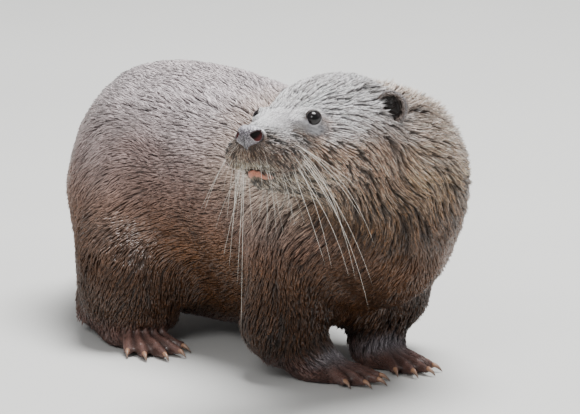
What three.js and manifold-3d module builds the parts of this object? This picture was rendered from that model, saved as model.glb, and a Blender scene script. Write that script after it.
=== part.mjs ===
// A Eurasian otter at life size, standing with its back arched and its head turned to its right.
// Millimetres, +Z up, +X the way the shoulders face, +Y the animal's left, the soles on z = 0.
// The flesh is one smooth field, a blend of elliptic tubes and ellipsoids. Each part of the body is
// that field sampled inside the part's own region, so that neighbours meet at a thin flat cut.
import * as THREE from "three";
import { mergeVertices } from "three/addons/utils/BufferGeometryUtils.js";
import Module from "manifold-3d";

const wasm = await Module();
wasm.setup();

const v = (x, y, z) => new THREE.Vector3(x, y, z);
const deg = THREE.MathUtils.degToRad;

// ---------------------------------------------------------------- driving dimensions

const CUT = 0.3; // gap between neighbouring parts
const SIDES = { left: 1, right: -1 };

// Trunk and tail: the centre of each section, with its half width, its height above and depth below.
const TRUNK = [
  { at: v(34, -2, 122), half: 46, up: 50, down: 60 }, // breast
  { at: v(-18, 0, 124), half: 66, up: 72, down: 84 }, // shoulders
  { at: v(-85, 0, 126), half: 77, up: 79, down: 102 }, // ribs
  { at: v(-150, 0, 130), half: 82, up: 83, down: 119 }, // middle of the back
  { at: v(-208, 0, 128), half: 86, up: 87, down: 117 }, // loin
  { at: v(-254, 0, 117), half: 83, up: 92, down: 100 }, // hips
  { at: v(-289, 3, 96), half: 66, up: 76, down: 74 },
  { at: v(-312, 9, 72), half: 45, up: 46, down: 46 }, // root of the tail
  { at: v(-341, 22, 50), half: 33, up: 31, down: 32 },
  { at: v(-374, 46, 32), half: 28, up: 25, down: 26 },
  { at: v(-408, 90, 22), half: 24, up: 19, down: 21 },
  { at: v(-430, 146, 16), half: 19, up: 15, down: 16 },
  { at: v(-432, 206, 11.5), half: 14, up: 11, down: 12.5 },
  { at: v(-412, 262, 7), half: 7, up: 6, down: 7.5 }, // tip of the tail
];

// Neck: a round tube from inside the shoulders, bending to the right, up to the back of the skull.
const NECK = [
  { at: v(-30, 0, 134), r: 66 },
  { at: v(14, -2, 150), r: 67 },
  { at: v(42, -12, 172), r: 65 },
  { at: v(52, -36, 194), r: 57 },
  { at: v(52, -56, 206), r: 46 },
];

// Head: its own frame has x to the nose, y to the left and z up, and its origin between the ears.
const HEAD = { at: v(48.8, -71.9, 220), turn: deg(-75.5), tilt: deg(7.5), roll: deg(6) };
const CRANIUM = { at: v(0, 0, -0.5), radii: v(52, 48, 39.5) };
const CHEEK = { at: v(16, 26, -19), radii: v(40, 26, 27) };
const BRIDGE = { from: v(30, 0, -3), to: v(96, 0, -8.5), r0: 30, r1: 13 };
const BROW = { at: v(57, 20.5, 5), radii: v(17, 10, 8.5) };
const MUZZLE = { at: v(78, 0, -18), radii: v(29, 28, 17) };
const LIP = { at: v(87, 15.5, -20), radii: v(18, 16, 13) }; // the pad that carries the whiskers
const JAW = { from: v(14, 0, -38), to: v(90, 0, -36), r0: 22, r1: 9.5 };
const EYE = { at: v(57.3, 24.6, 7), r: 6.6 };
const EAR = { at: v(-7.5, 49.5, 14.5), radii: v(10.5, 6, 11.5), lean: deg(24), splay: deg(38) };
const NOSE = { at: v(104.5, 0, -5.7), radii: v(8, 13, 8.8) };
const NOSTRIL = { at: v(111, 7.2, -4), r: 3.6 };

// Legs: the places of the joints, and the thickness of the limb there. The paw is turned by `turn` from
// straight ahead.
const FORELEGS = {
  left: { joints: [v(-18, 46, 112), v(-38, 56, 52), v(-18, 23, 20)], turn: deg(8) },
  right: { joints: [v(-18, -48, 112), v(-28, -61, 44), v(-12, -45, 20)], turn: deg(24) },
};
const HINDLEGS = {
  left: { joints: [v(-248, 42, 108), v(-194, 82, 56), v(-238, 84, 22), v(-194, 90, 13)], turn: deg(12) },
  right: {
    joints: [v(-248, -42, 108), v(-194, -82, 56), v(-238, -84, 22), v(-194, -90, 13)],
    turn: deg(-12),
  },
};
const FORELEG_RADII = [43, 30, 19];
const HINDLEG_RADII = [54, 46, 20, 15];

// Paws: the hand or foot ends in five webbed digits. Angles fan out from the digit in the middle.
const FOREPAW = {
  palm: v(17, 0, 7), radii: v(24, 21, 11), digits: [38, 49, 53, 50, 41], fan: 15, start: 12, r: 5.2,
};
const HINDPAW = {
  palm: v(14, 0, 7), radii: v(30, 21, 11), digits: [48, 60, 66, 64, 54], fan: 14, start: 16, r: 5.6,
};
const CLAW = { length: 9, r: 2, sides: 4 };
const FLOOR = 0.6; // how much of each sole is pressed flat

// ---------------------------------------------------------------- fields of distance

const smoothMin = (a, b, k) => {
  const h = Math.max(k - Math.abs(a - b), 0) / k;
  return Math.min(a, b) - h * h * k * 0.25;
};

function ellipsoid({ at, radii }) {
  return (p) => {
    const x = (p.x - at.x) / radii.x;
    const y = (p.y - at.y) / radii.y;
    const z = (p.z - at.z) / radii.z;
    const k0 = Math.hypot(x, y, z);
    const k1 = Math.hypot(x / radii.x, y / radii.y, z / radii.z);
    return k1 > 0 ? (k0 * (k0 - 1)) / k1 : -Math.min(radii.x, radii.y, radii.z);
  };
}

// A straight limb that tapers from r0 to r1.
function cone(from, to, r0, r1) {
  const along = to.clone().sub(from);
  const size = along.lengthSq();
  return (p) => {
    const x = p.x - from.x;
    const y = p.y - from.y;
    const z = p.z - from.z;
    const t = Math.min(1, Math.max(0, (x * along.x + y * along.y + z * along.z) / size));
    return Math.hypot(x - t * along.x, y - t * along.y, z - t * along.z) - (r0 + t * (r1 - r0));
  };
}

// A tube of elliptic section along a smooth curve through the stations, rounded off at both ends.
function tube(stations, samples) {
  const curve = new THREE.CatmullRomCurve3(stations.map((s) => s.at), false, "centripetal");
  const last = stations.length - 1;
  const between = (key, t) => {
    const i = Math.min(last - 1, Math.floor(t * last));
    const f = t * last - i;
    const at = (j) => {
      const station = stations[Math.min(last, Math.max(0, j))];
      return station[key] ?? station.r;
    };
    const [a, b, c, d] = [at(i - 1), at(i), at(i + 1), at(i + 2)];
    const bend = (2 * a - 5 * b + 4 * c - d) * f ** 2 + (3 * b - a - 3 * c + d) * f ** 3;
    return 0.5 * (2 * b + (c - a) * f + bend);
  };
  const rings = Array.from({ length: samples + 1 }, (_, i) => {
    const t = i / samples;
    const tangent = curve.getTangent(t);
    const side = new THREE.Vector3(-tangent.y, tangent.x, 0).normalize();
    return {
      c: curve.getPoint(t), tangent, side, top: tangent.clone().cross(side),
      half: between("half", t), up: between("up", t), down: between("down", t),
      end: i === 0 ? -1 : i === samples ? 1 : 0,
    };
  });
  const w = new THREE.Vector3();
  return (p) => {
    let best = Infinity;
    let ring = rings[0];
    for (const r of rings) {
      const d = p.distanceToSquared(r.c);
      if (d < best) [best, ring] = [d, r];
    }
    w.subVectors(p, ring.c);
    const high = w.dot(ring.top);
    const tall = high > 0 ? ring.up : ring.down;
    const past = ring.end * w.dot(ring.tangent) > 0 ? w.dot(ring.tangent) : 0;
    const least = Math.min(ring.half, tall);
    const q = Math.hypot(w.dot(ring.side) / ring.half, high / tall, past / least);
    return (q - 1) * least;
  };
}

const mirrored = (at, side) => v(at.x, at.y * side, at.z);

// Blends several fields, each with the next, over a width of k.
const blend = (fields, k) => (p) => fields.reduce((d, f) => smoothMin(d, f(p), k), Infinity);

const headFrame = new THREE.Matrix4()
  .makeRotationZ(HEAD.turn)
  .multiply(new THREE.Matrix4().makeRotationY(-HEAD.tilt))
  .multiply(new THREE.Matrix4().makeRotationX(HEAD.roll))
  .setPosition(HEAD.at);
const intoHead = headFrame.clone().invert();

function headField() {
  const both = (shape) =>
    Object.values(SIDES).map((side) => ellipsoid({ ...shape, at: mirrored(shape.at, side) }));
  const bridge = cone(BRIDGE.from, BRIDGE.to, BRIDGE.r0, BRIDGE.r1);
  const skull = blend([ellipsoid(CRANIUM), bridge, ...both(CHEEK)], 16);
  const face = blend([ellipsoid(MUZZLE), ...both(LIP), ...both(BROW)], 7);
  const jaw = cone(JAW.from, JAW.to, JAW.r0, JAW.r1);
  const q = new THREE.Vector3();
  return (p) => {
    q.copy(p).applyMatrix4(intoHead);
    return smoothMin(smoothMin(skull(q), face(q), 11), jaw(q), 8);
  };
}

// The frame of a paw: x along the middle digit, z up, and its origin on the floor under the last joint.
function pawFrame({ joints, turn }) {
  const last = joints[joints.length - 1];
  return new THREE.Matrix4().makeRotationZ(turn).setPosition(last.x, last.y, 0);
}

function pawField(paw, frame) {
  const inverse = frame.clone().invert();
  const palm = ellipsoid({ at: paw.palm, radii: paw.radii });
  const q = new THREE.Vector3();
  return (p) => palm(q.copy(p).applyMatrix4(inverse));
}

const LEG_KINDS = {
  foreleg: { pawName: "forepaw", paw: FOREPAW, radii: FORELEG_RADII, places: FORELEGS },
  hindleg: { pawName: "hindpaw", paw: HINDPAW, radii: HINDLEG_RADII, places: HINDLEGS },
};
const legs = Object.keys(SIDES).flatMap((side) =>
  Object.entries(LEG_KINDS).map(([kind, { pawName, paw, radii, places }]) => ({
    kind,
    leg: `${kind}_${side}`,
    pawName: `${pawName}_${side}`,
    side: SIDES[side],
    paw,
    radii,
    joints: places[side].joints,
    frame: pawFrame(places[side]),
  })));
const limbs = legs.map(({ joints, radii, paw, frame }) => {
  const bones = joints.slice(1).map((to, i) => cone(joints[i], to, radii[i], radii[i + 1]));
  return blend([...bones, pawField(paw, frame)], 14);
});

// How widely each part blends into the body.
const BLEND = { neck: 30, head: 14, limb: 22 };

const trunk = tube(TRUNK, 110);
const neck = tube(NECK, 24);
const head = headField();
const body = (p) => {
  const torso = smoothMin(trunk(p), neck(p), BLEND.neck);
  const withHead = smoothMin(torso, head(p), BLEND.head);
  return limbs.reduce((sum, limb) => smoothMin(sum, limb(p), BLEND.limb), withHead);
};

// ---------------------------------------------------------------- from fields to solids

const OUTSIDE = 400; // the distance given to points on the rim of a grid

// Where the four corners of a grid face are in and out by turns, the one nearest to the surface changes
// sides, so that no two sheets of the surface share an edge.
function settle(values, n, index) {
  const turns = [[1, 0, 0, 0, 1, 0], [0, 1, 0, 0, 0, 1], [0, 0, 1, 1, 0, 0]];
  let changed = true;
  while (changed) {
    changed = false;
    for (let k = 0; k < n[2] - 1; k++)
      for (let j = 0; j < n[1] - 1; j++)
        for (let i = 0; i < n[0] - 1; i++)
          for (const [ax, ay, az, bx, by, bz] of turns) {
            const corners = [
              index(i, j, k), index(i + ax, j + ay, k + az),
              index(i + ax + bx, j + ay + by, k + az + bz), index(i + bx, j + by, k + bz),
            ];
            const [a, b, c, d] = corners.map((at) => values[at] < 0);
            if (a !== c || b !== d || a === b) continue;
            const near = corners.reduce((m, at) => (Math.abs(values[at]) < Math.abs(values[m]) ? at : m));
            values[near] *= -0.1;
            changed = true;
          }
  }
}

// Surface nets: one vertex in each grid cell that the surface crosses, moved onto the surface, and one
// quad for each grid edge that it crosses. The grid has n points along each way, and place(i, j, k)
// says where each one is. No vertex is moved further than reach.
function surface(field, n, place, reach) {
  const index = (i, j, k) => (k * n[1] + j) * n[0] + i;
  const values = new Float32Array(n[0] * n[1] * n[2]);
  for (let k = 0; k < n[2]; k++)
    for (let j = 0; j < n[1]; j++)
      for (let i = 0; i < n[0]; i++) {
        const rim = i === 0 || j === 0 || k === 0 || i === n[0] - 1 || j === n[1] - 1 || k === n[2] - 1;
        values[index(i, j, k)] = rim ? OUTSIDE : field(place(i, j, k)) || 1e-6;
      }
  settle(values, n, index);
  const corners = [0, 1, 2, 3, 4, 5, 6, 7].map((c) => [c & 1, (c >> 1) & 1, c >> 2]);
  const joined = (a, b) => a.reduce((sum, q, m) => sum + Math.abs(q - b[m]), 0) === 1;
  const edges = corners.flatMap((a, x) =>
    corners.slice(x + 1).filter((b) => joined(a, b)).map((b) => [a, b]));
  const vertexOf = new Map();
  const positions = [];
  for (let k = 0; k < n[2] - 1; k++)
    for (let j = 0; j < n[1] - 1; j++)
      for (let i = 0; i < n[0] - 1; i++) {
        const sum = v(0, 0, 0);
        let crossings = 0;
        for (const [a, b] of edges) {
          const fa = values[index(i + a[0], j + a[1], k + a[2])];
          const fb = values[index(i + b[0], j + b[1], k + b[2])];
          if (fa < 0 === fb < 0) continue;
          const t = fa / (fa - fb);
          const [x, y, z] = a.map((q, m) => q + t * (b[m] - q));
          sum.add(place(i + x, j + y, k + z));
          crossings++;
        }
        if (!crossings) continue;
        vertexOf.set(index(i, j, k), positions.length / 3);
        positions.push(...onto(field, sum.divideScalar(crossings), reach).toArray());
      }
  const faces = [];
  for (let k = 0; k < n[2] - 1; k++)
    for (let j = 0; j < n[1] - 1; j++)
      for (let i = 0; i < n[0] - 1; i++) {
        const here = values[index(i, j, k)] < 0;
        const quads = [
          [[i + 1, j, k], [0, -1, -1], [0, 0, -1], [0, 0, 0], [0, -1, 0]],
          [[i, j + 1, k], [-1, 0, -1], [-1, 0, 0], [0, 0, 0], [0, 0, -1]],
          [[i, j, k + 1], [-1, -1, 0], [0, -1, 0], [0, 0, 0], [-1, 0, 0]],
        ];
        for (const [next, ...around] of quads) {
          if (values[index(...next)] < 0 === here) continue;
          const q = around.map((o) => vertexOf.get(index(i + o[0], j + o[1], k + o[2])));
          if (!here) q.reverse();
          faces.push(q[0], q[1], q[2], q[0], q[2], q[3]);
        }
      }
  const geometry = new THREE.BufferGeometry();
  geometry.setAttribute("position", new THREE.Float32BufferAttribute(positions, 3));
  geometry.setIndex(faces);
  return geometry;
}

// Moves a point along the field's slope onto its surface, by no more than reach.
function onto(field, p, reach) {
  const e = 0.5;
  const d = field(p);
  const slope = v(
    field(v(p.x + e, p.y, p.z)) - field(v(p.x - e, p.y, p.z)),
    field(v(p.x, p.y + e, p.z)) - field(v(p.x, p.y - e, p.z)),
    field(v(p.x, p.y, p.z + e)) - field(v(p.x, p.y, p.z - e)),
  ).divideScalar(2 * e);
  const size = slope.lengthSq();
  if (size < 1e-6) return p;
  return p.addScaledVector(slope, -Math.max(-reach, Math.min(reach, d / size)));
}

function solid(geometry) {
  const bare = geometry.clone();
  bare.deleteAttribute("normal");
  bare.deleteAttribute("uv");
  const merged = mergeVertices(bare, 1e-4);
  return new wasm.Manifold(new wasm.Mesh({
    numProp: 3,
    vertProperties: new Float32Array(merged.attributes.position.array),
    triVerts: new Uint32Array(merged.index.array),
  }));
}

const otter = new THREE.Group();

function show(name, shape, material) {
  const made = shape.getMesh();
  const positions = new Float32Array(made.numVert * 3);
  for (let i = 0; i < made.numVert; i++)
    positions.set(made.vertProperties.subarray(i * made.numProp, i * made.numProp + 3), i * 3);
  const geometry = new THREE.BufferGeometry();
  geometry.setAttribute("position", new THREE.BufferAttribute(positions, 3));
  geometry.setIndex(new THREE.BufferAttribute(new Uint32Array(made.triVerts), 1));
  geometry.computeVertexNormals();
  const mesh = new THREE.Mesh(geometry, material);
  mesh.name = name;
  otter.add(mesh);
}

// A large block whose top face is the plane through `at` that faces along `normal`. Cutting by a block
// that is moved back by `gap` leaves that gap.
const REACH = 1600;
function behind(at, normal, gap = 0) {
  const block = new THREE.BoxGeometry(REACH, REACH, REACH);
  const unit = normal.clone().normalize();
  block.applyQuaternion(new THREE.Quaternion().setFromUnitVectors(v(0, 0, 1), unit));
  return solid(block.translate(...at.clone().addScaledVector(unit, gap - REACH / 2).toArray()));
}

// ---------------------------------------------------------------- where the parts are cut

const NAPE = {
  at: v(-24, 0, 12).applyMatrix4(headFrame),
  normal: v(0.8, 0, 0.55).transformDirection(headFrame),
};
const COLLAR = { at: v(14, 0, 150), normal: v(0.5, -0.08, 0.86) };
const TAIL_ROOT = { at: v(-312, 8, 74), normal: v(-0.85, 0.2, -0.49) };
const TAIL_MIDDLE = { at: v(-412, 98, 21), normal: v(-0.45, 0.88, -0.1) };

// Each leg lies in a block with one slanting face, through `at`, at `slope` from level.
const LEG_CUTS = {
  foreleg: { at: v(-24, 54, 80), slope: deg(48), back: -88, front: 36, deep: 90, cell: v(17, 15.5, 15.5) },
  hindleg: { at: v(-225, 56, 86), slope: deg(62), back: -320, front: -134, deep: 120, cell: v(23, 21, 21) },
};
const PAW_CUTS = {
  foreleg: { height: 26, back: 10, reach: 90 },
  hindleg: { height: 34, back: 12, reach: 110 },
};

function legBlock(kind, side, grow) {
  const cut = LEG_CUTS[kind];
  const size = v(cut.front - cut.back, 260, 2 * cut.deep).addScalar(2 * grow);
  const block = new THREE.BoxGeometry(size.x, size.y, size.z).translate(0, 0, -cut.deep);
  block.rotateX(cut.slope * side);
  return solid(block.translate((cut.front + cut.back) / 2, cut.at.y * side, cut.at.z));
}

function pawBlock({ kind, frame }, grow) {
  const cut = PAW_CUTS[kind];
  const size = v(cut.reach, 90, 2 * cut.height).addScalar(2 * grow);
  const block = new THREE.BoxGeometry(size.x, size.y, size.z).translate(cut.reach / 2 - cut.back, 0, 0);
  return solid(block.applyMatrix4(frame));
}

const aboveFloor = behind(v(0, 0, REACH + FLOOR), v(0, 0, 1));
const identity = new THREE.Matrix4();

// The flesh inside a box of space, in the axes of a frame. The grid narrows along x: its last layer is
// `narrow` times as wide and tall as its first.
function flesh({ low, high, cell, narrow = 1 }, frame = identity) {
  const size = high.clone().sub(low);
  const n = [size.x / cell.x, size.y / cell.y, size.z / cell.z].map((q) => Math.ceil(q) + 1);
  return solid(surface(body, n, (i, j, k) => {
    const t = i / (n[0] - 1);
    const scale = 1 + t * (narrow - 1);
    const along = t * (1 + (1 - t) * (1 - narrow) * 0.5);
    const y = (j / (n[1] - 1) - 0.5) * size.y * scale;
    const z = (k / (n[2] - 1) - 0.5) * size.z * scale;
    return v(low.x + along * size.x, (low.y + high.y) / 2 + y, (low.z + high.z) / 2 + z).applyMatrix4(frame);
  }, cell.x * 0.35));
}

const COAT = new THREE.MeshStandardMaterial({ color: 0x6b5547, roughness: 0.7, metalness: 0 });
const LEATHER = new THREE.MeshStandardMaterial({ color: 0x3d3b40, roughness: 0.4, metalness: 0 });
const EYEBALL = new THREE.MeshStandardMaterial({ color: 0x0d0a0a, roughness: 0.08, metalness: 0 });
const HORN = new THREE.MeshStandardMaterial({ color: 0x9a7d68, roughness: 0.45, metalness: 0 });

// ---------------------------------------------------------------- head

function place(geometry, at, frame) {
  return geometry.translate(at.x, at.y, at.z).applyMatrix4(frame);
}

function eyeball(side, grow) {
  const ball = new THREE.SphereGeometry(EYE.r + grow, 9, 6);
  return solid(place(ball, mirrored(EYE.at, side), headFrame));
}

function nosePad(grow) {
  const pad = new THREE.SphereGeometry(1, 9, 6);
  pad.scale(NOSE.radii.x + grow, NOSE.radii.y + grow, NOSE.radii.z + grow);
  return solid(place(pad, NOSE.at, headFrame));
}

// An ear is a small round cup, open to the front and the side.
function ear(side, grow) {
  const cup = new THREE.SphereGeometry(1, 9, 6);
  cup.scale(EAR.radii.x + grow, EAR.radii.y + grow, EAR.radii.z + grow);
  const hollow = new THREE.SphereGeometry(1, 7, 5);
  hollow.scale(EAR.radii.x * 0.66, EAR.radii.y * 0.8, EAR.radii.z * 0.66);
  hollow.translate(2.5, EAR.radii.y * 0.62 * side, 0.5);
  const turned = (g) => {
    g.rotateY(-EAR.lean).rotateZ(-EAR.splay * side);
    return solid(place(g, mirrored(EAR.at, side), headFrame));
  };
  return grow ? turned(cup) : turned(cup).subtract(turned(hollow));
}

const HEAD_SPACE = {
  low: v(-52, -72, -92), high: v(120, 72, 54), cell: v(10.9, 11.1, 10.5), narrow: 0.62,
};

let headSolid = flesh(HEAD_SPACE, headFrame)
  .subtract(behind(NAPE.at, NAPE.normal, CUT))
  .subtract(nosePad(CUT));
for (const side of Object.values(SIDES)) headSolid = headSolid.subtract(eyeball(side, CUT));

const largest = (shape) => shape.decompose().reduce((a, b) => (b.volume() > a.volume() ? b : a));

for (const [name, side] of Object.entries(SIDES)) {
  show(`eye_${name}`, eyeball(side, 0), EYEBALL);
  show(`ear_${name}`, largest(ear(side, 0).subtract(headSolid)), COAT);
  headSolid = headSolid.subtract(ear(side, CUT));
}
show("head", headSolid, COAT);

let nose = nosePad(0);
for (const side of Object.values(SIDES)) {
  const hole = new THREE.SphereGeometry(NOSTRIL.r, 6, 4);
  nose = nose.subtract(solid(place(hole, mirrored(NOSTRIL.at, side), headFrame)));
}
show("nose", nose, LEATHER);

// ---------------------------------------------------------------- neck, trunk and tail

const TORSO_SPACE = { low: v(-390, -140, -24), high: v(140, 140, 310), cell: v(27.5, 23.5, 23.5) };
const TAIL_SPACE = { low: v(-480, -70, -28), high: v(-252, 300, 150), cell: v(17, 20, 13) };

const torso = flesh(TORSO_SPACE);
const fore = torso.subtract(behind(COLLAR.at, COLLAR.normal, CUT));
show("neck", fore.intersect(behind(NAPE.at, NAPE.normal)), COAT);

let trunkSolid = torso
  .intersect(behind(COLLAR.at, COLLAR.normal))
  .intersect(behind(TAIL_ROOT.at, TAIL_ROOT.normal));
for (const kind of Object.keys(LEG_CUTS))
  for (const side of Object.values(SIDES)) trunkSolid = trunkSolid.subtract(legBlock(kind, side, CUT));
show("trunk", trunkSolid, COAT);

const tail = flesh(TAIL_SPACE)
  .subtract(behind(TAIL_ROOT.at, TAIL_ROOT.normal, CUT))
  .intersect(aboveFloor);
show("tail_base", tail.intersect(behind(TAIL_MIDDLE.at, TAIL_MIDDLE.normal)), COAT);
show("tail_tip", tail.subtract(behind(TAIL_MIDDLE.at, TAIL_MIDDLE.normal, CUT)), COAT);

// ---------------------------------------------------------------- legs and paws

// A round limb through the points, of the given radii, closed by a point at each end.
function finger(points, radii, sides = 5) {
  const curve = new THREE.CatmullRomCurve3(points);
  const rings = points.length;
  const positions = [...curve.getPoint(0).toArray()];
  const faces = [];
  for (let i = 0; i < rings; i++) {
    const t = i / (rings - 1);
    const c = curve.getPoint(Math.min(0.985, Math.max(0.015, t)));
    const tangent = curve.getTangent(t);
    const side = v(-tangent.y, tangent.x, 0).normalize();
    const top = tangent.clone().cross(side);
    const f = t * (radii.length - 1);
    const a = Math.min(radii.length - 2, Math.floor(f));
    const r = radii[a] + (f - a) * (radii[a + 1] - radii[a]);
    for (let s = 0; s < sides; s++) {
      const angle = (2 * Math.PI * (s + 0.5)) / sides;
      const rim = c.clone().addScaledVector(side, r * Math.cos(angle));
      positions.push(...rim.addScaledVector(top, -r * Math.sin(angle)).toArray());
    }
  }
  positions.push(...curve.getPoint(1).toArray());
  const tip = rings * sides + 1;
  for (let s = 0; s < sides; s++) {
    const next = (s + 1) % sides;
    faces.push(0, 1 + s, 1 + next, tip, tip - sides + next, tip - sides + s);
    for (let i = 0; i < rings - 1; i++) {
      const [a, b] = [1 + i * sides + s, 1 + i * sides + next];
      faces.push(a, b + sides, b, a, a + sides, b + sides);
    }
  }
  const geometry = new THREE.BufferGeometry();
  geometry.setAttribute("position", new THREE.Float32BufferAttribute(positions, 3));
  geometry.setIndex(faces);
  return geometry;
}

// Where each digit of a paw starts, arches and ends, and where its claw lies, in the paw's frame.
function digitLines({ paw, side }) {
  return paw.digits.map((length, i) => {
    const angle = deg((i - 2) * paw.fan) * -side;
    const way = v(Math.cos(angle), Math.sin(angle), 0);
    const at = (d, z) => v(paw.palm.x - 8, 0, z).addScaledVector(way, d);
    return {
      points: [at(paw.start, 9), at(length * 0.66, 9), at(length, 4.6)],
      web: at(length * 0.84, 0),
      claw: { at: at(length - 1, 6.6), way },
    };
  });
}

function clawShape({ at, way }, frame, grow) {
  const spike = new THREE.ConeGeometry(CLAW.r + grow, CLAW.length + 2 * grow, CLAW.sides).rotateX(Math.PI / 2);
  spike.translate(0, 0, CLAW.length / 2 - 1);
  const forward = way.clone().add(v(0, 0, -0.34)).normalize();
  spike.applyQuaternion(new THREE.Quaternion().setFromUnitVectors(v(0, 0, 1), forward));
  return solid(place(spike, at, frame));
}

// The web joins the digits in one sheet down to the sole, scalloped between their tips.
const WEB = 8;
const SCALLOP = 0.45;
function web({ paw }, lines) {
  const outline = new THREE.Shape();
  outline.moveTo(paw.palm.x - 8, 0);
  lines.forEach(({ web: tip }, i) => {
    if (i === 0) outline.lineTo(tip.x, tip.y);
    else {
      const last = lines[i - 1].web;
      const dip = tip.clone().add(last).multiplyScalar(SCALLOP);
      outline.quadraticCurveTo(dip.x + 1, dip.y, tip.x, tip.y);
    }
  });
  outline.closePath();
  const sheet = new THREE.ExtrudeGeometry(outline, { depth: WEB, bevelEnabled: false, curveSegments: 2 });
  return sheet.translate(0, 0, -2);
}

function pawSolid(made) {
  const { paw, frame, kind } = made;
  const lines = digitLines(made);
  const cut = PAW_CUTS[kind];
  const low = v(-cut.back - 20, -44, -24);
  const space = { low, high: v(78, 44, cut.height + 20), cell: v(14, 13, 12) };
  let whole = flesh(space, frame).intersect(pawBlock(made, 0));
  whole = whole.add(solid(web(made, lines).applyMatrix4(frame)));
  for (const { points } of lines) {
    const toe = finger(points, [paw.r, paw.r * 1.04, paw.r * 0.96, paw.r * 0.72]);
    whole = whole.add(solid(toe.applyMatrix4(frame)));
  }
  for (const line of lines) whole = whole.subtract(clawShape(line.claw, frame, CUT));
  return whole.intersect(aboveFloor);
}

for (const made of legs) {
  const { back, front, cell } = LEG_CUTS[made.kind];
  const low = v(back - 30, made.side > 0 ? -20 : -160, -40);
  const high = v(front + 30, made.side > 0 ? 160 : 20, 200);
  show(made.leg, flesh({ low, high, cell })
    .intersect(legBlock(made.kind, made.side, 0))
    .intersect(behind(TAIL_ROOT.at, TAIL_ROOT.normal))
    .subtract(pawBlock(made, CUT))
    .intersect(aboveFloor), COAT);
  show(made.pawName, pawSolid(made), COAT);
  digitLines(made).forEach((line, i) =>
    show(`claw_${made.pawName}_${i + 1}`, clawShape(line.claw, made.frame, 0).intersect(aboveFloor), HORN));
}

// The frame's origin is on the floor, under the middle of the animal.
const extent = new THREE.Box3().setFromObject(otter);
const middle = extent.getCenter(new THREE.Vector3());
otter.position.set(-middle.x, -middle.y, -extent.min.z);

export default otter;
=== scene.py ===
# A Eurasian otter with a wet coat: skin, coat, eyes, nose, ears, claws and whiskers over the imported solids.
# Metres, +Z up, +X the way the shoulders face, +Y the animal's left, the soles on z = 0.
import math

import bpy
import numpy as np
from mathutils import Matrix, Vector, kdtree


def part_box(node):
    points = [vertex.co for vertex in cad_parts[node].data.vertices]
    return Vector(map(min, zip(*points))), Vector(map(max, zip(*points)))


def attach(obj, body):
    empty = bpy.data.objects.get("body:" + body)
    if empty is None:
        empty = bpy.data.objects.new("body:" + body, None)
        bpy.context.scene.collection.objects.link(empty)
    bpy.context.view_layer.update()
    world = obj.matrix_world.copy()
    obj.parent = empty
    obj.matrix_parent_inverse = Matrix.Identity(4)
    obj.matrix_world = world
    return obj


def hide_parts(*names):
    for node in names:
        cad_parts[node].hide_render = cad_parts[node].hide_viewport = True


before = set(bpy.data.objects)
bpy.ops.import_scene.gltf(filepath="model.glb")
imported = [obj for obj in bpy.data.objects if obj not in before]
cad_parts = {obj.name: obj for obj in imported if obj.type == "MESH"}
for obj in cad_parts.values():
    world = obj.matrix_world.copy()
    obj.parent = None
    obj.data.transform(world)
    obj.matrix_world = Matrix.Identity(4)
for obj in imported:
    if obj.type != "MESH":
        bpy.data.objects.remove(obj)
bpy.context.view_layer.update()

MM = 0.001
rng = np.random.default_rng(11)
SIDES = {"left": 1, "right": -1}
SAME_PLACE = 0.01 * MM  # points of a made piece that lie as close as this are one


# ---- places, as in the solids

# The solids' own drawing has its origin elsewhere: this brings a place in it, in mm, to the frame.
SHIFT = np.array([170.8, -41.3, -0.6])


def place(x, y, z):
    return (np.array([x, y, z]) + SHIFT) * MM


# The head's own frame has x to the nose, y to the left and z up, in mm, and its origin between the ears.
HEAD_AT = place(48.8, -71.9, 220)
HEAD_AXES = np.array(
    (
        Matrix.Rotation(math.radians(-75.5), 3, "Z")
        @ Matrix.Rotation(math.radians(-7.5), 3, "Y")
        @ Matrix.Rotation(math.radians(6), 3, "X")
    )
)
EYE = np.array([57.3, 24.6, 7.0])
EYE_RADIUS = 6.6
NOSE = np.array([104.5, 0.0, -5.7])
NOSE_RADII = np.array([8.0, 13.0, 8.8])
EAR = np.array([-7.5, 49.5, 14.5])
EAR_RADII = np.array([10.5, 6.0, 11.5])

# Lines through the body: each place has its x, y and z and how thick the body is round it, in mm.
TRUNK = [
    (34, -2, 122, 55), (-18, 0, 124, 72), (-85, 0, 126, 84), (-150, 0, 124, 92), (-208, 0, 122, 93),
    (-254, 0, 117, 88), (-289, 3, 96, 70),
]
TAIL = [
    (-289, 3, 96, 70), (-312, 9, 72, 46), (-341, 22, 50, 32), (-374, 46, 32, 26), (-408, 90, 22, 21),
    (-430, 146, 16, 17), (-432, 206, 11.5, 13), (-412, 262, 7, 7),
]
NECK = [(52, -56, 206, 46), (52, -36, 194, 57), (42, -12, 172, 65), (14, -2, 150, 67), (-30, 0, 134, 66)]
FORELEGS = {
    "left": [(-18, 46, 112, 43), (-38, 56, 52, 30), (-18, 23, 20, 19)],
    "right": [(-18, -48, 112, 43), (-28, -61, 44, 30), (-12, -45, 20, 19)],
}
HINDLEGS = {
    "left": [(-248, 42, 108, 54), (-194, 82, 56, 46), (-238, 84, 22, 20), (-194, 90, 13, 15)],
    "right": [(-248, -42, 108, 54), (-194, -82, 56, 46), (-238, -84, 22, 20), (-194, -90, 13, 15)],
}
# A paw's shape: how far the palm and each digit reach, in mm, and the angle between digits, in degrees.
FOREPAW = {"palm": 17, "reach": 60, "digits": [38, 49, 53, 50, 41], "fan": 15}
HINDPAW = {"palm": 14, "reach": 72, "digits": [48, 60, 66, 64, 54], "fan": 14}
# Each paw: the end of its leg, the way that it points, in degrees, and its shape.
PAWS = {
    "forepaw_left": (FORELEGS["left"][-1], 8, FOREPAW),
    "forepaw_right": (FORELEGS["right"][-1], 24, FOREPAW),
    "hindpaw_left": (HINDLEGS["left"][-1], 12, HINDPAW),
    "hindpaw_right": (HINDLEGS["right"][-1], -12, HINDPAW),
}

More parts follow.
